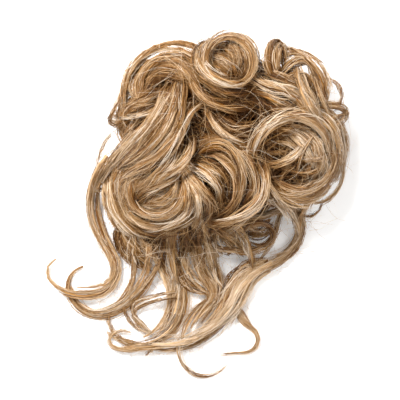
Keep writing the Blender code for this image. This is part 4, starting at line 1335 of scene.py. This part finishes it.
# The band's section is an oval with flattened sides, sign(cos) |cos|^flat by sign(sin) |sin|^flat, and
# its ribs stand in by a cosine of the angle round it.
def makeElastic(name, material):
    around, section = elastic["ribs"] * elastic["stepsPerRib"], elastic["section"]
    turn = np.arange(around) * fullTurn / around
    angle = np.arange(section) * fullTurn / section
    half = np.array((elastic["width"], bandHigh[2] - bandLow[2])) / 2
    radius = (bandHigh[0] - bandLow[0]) / 2 - half[0]
    flat = [np.sign(wave) * np.abs(wave) ** elastic["flat"] for wave in (np.cos(angle), np.sin(angle))]
    rib = 1 - elastic["depth"] / half[1] * (0.5 - 0.5 * np.cos(turn * elastic["ribs"]))[:, None]
    out = radius + half[0] * flat[0] * rib
    x, y = out * np.cos(turn)[:, None], out * np.sin(turn)[:, None]
    points = np.stack((x, y, half[1] * flat[1] * rib), axis=-1)
    number = np.arange(around * section).reshape(around, section)
    ahead, after = np.roll(number, -1, axis=0), np.roll(number, -1, axis=1)
    faces = np.stack((number, ahead, np.roll(ahead, -1, axis=1), after), axis=-1).reshape(-1, 4).tolist()
    flows = np.stack(np.broadcast_arrays(angle * half.sum() / mm, turn[:, None] * radius / mm, 0.0), axis=-1)
    points = points.reshape(-1, 3) + (bandLow + bandHigh) / 2
    return makePiece(name, material, points, faces, np.full((len(points), 4), 0.5), flows.reshape(-1, 3))


dress(makeElastic("woven_band", wovenMaterial("woven elastic")), "elastic", "elastic_band")

print("the pieces have", made["triangles"], "triangles")

# Floor: white paper
paper = {
    "Base Color": (0.93, 0.93, 0.925, 1),
    "Roughness": 0.9,
    "Specular IOR Level": 0.1,
    "Emission Color": (1, 1, 1, 1),
    "Emission Strength": 0.14,
}
paperMaterial = bpy.data.materials.new("paper floor")
paperMaterial.use_nodes = True
for socket, value in paper.items():
    paperMaterial.node_tree.nodes["Principled BSDF"].inputs[socket].default_value = value
reach = 3  # metres
floorMesh = bpy.data.meshes.new("floor")
corners = [(-reach, -reach, 0), (reach, -reach, 0), (reach, reach, 0), (-reach, reach, 0)]
floorMesh.from_pydata(corners, [], [(0, 1, 2, 3)])
floorMesh.materials.append(paperMaterial)
floor = bpy.data.objects.new("floor", floorMesh)
bpy.context.scene.collection.objects.link(floor)

# Camera: straight above the middle of the picture
aim = knotCentre + np.array(view["aim"]) * mm
cameraData = bpy.data.cameras.new("camera")
cameraData.sensor_width = view["sensor"]
cameraData.lens = view["sensor"] * (view["height"] - view["level"]) / view["width"]
cameraData.clip_start = view["near"]
cameraData.clip_end = view["far"]
camera = bpy.data.objects.new("camera", cameraData)
camera.location = (aim[0], aim[1], view["height"])
bpy.context.scene.collection.objects.link(camera)
bpy.context.scene.camera = camera

# Lights: a key light from the upper left, two soft ones and a white studio
lights = {
    "key": {"place": (-0.55, 0.75, 1.25), "size": 0.50, "power": 46},
    "fill": {"place": (1.0, 0.1, 1.3), "size": 1.0, "power": 11},
    "front": {"place": (-0.3, -1.1, 1.0), "size": 1.0, "power": 7},
}
studio = {"colour": (1, 1, 1, 1), "strength": 0.42, "targetHeight": 0.03}
target = Vector((aim[0], aim[1], studio["targetHeight"]))
for name, setting in lights.items():
    data = bpy.data.lights.new(name, "AREA")
    data.size = setting["size"]
    data.energy = setting["power"]
    lamp = bpy.data.objects.new(name, data)
    lamp.location = setting["place"]
    lamp.rotation_euler = (target - Vector(setting["place"])).to_track_quat("-Z", "Y").to_euler()
    bpy.context.scene.collection.objects.link(lamp)

world = bpy.data.worlds.new("soft studio")
world.use_nodes = True
world.node_tree.nodes["Background"].inputs["Color"].default_value = studio["colour"]
world.node_tree.nodes["Background"].inputs["Strength"].default_value = studio["strength"]
bpy.context.scene.world = world
bpy.context.scene.view_settings.view_transform = "Standard"
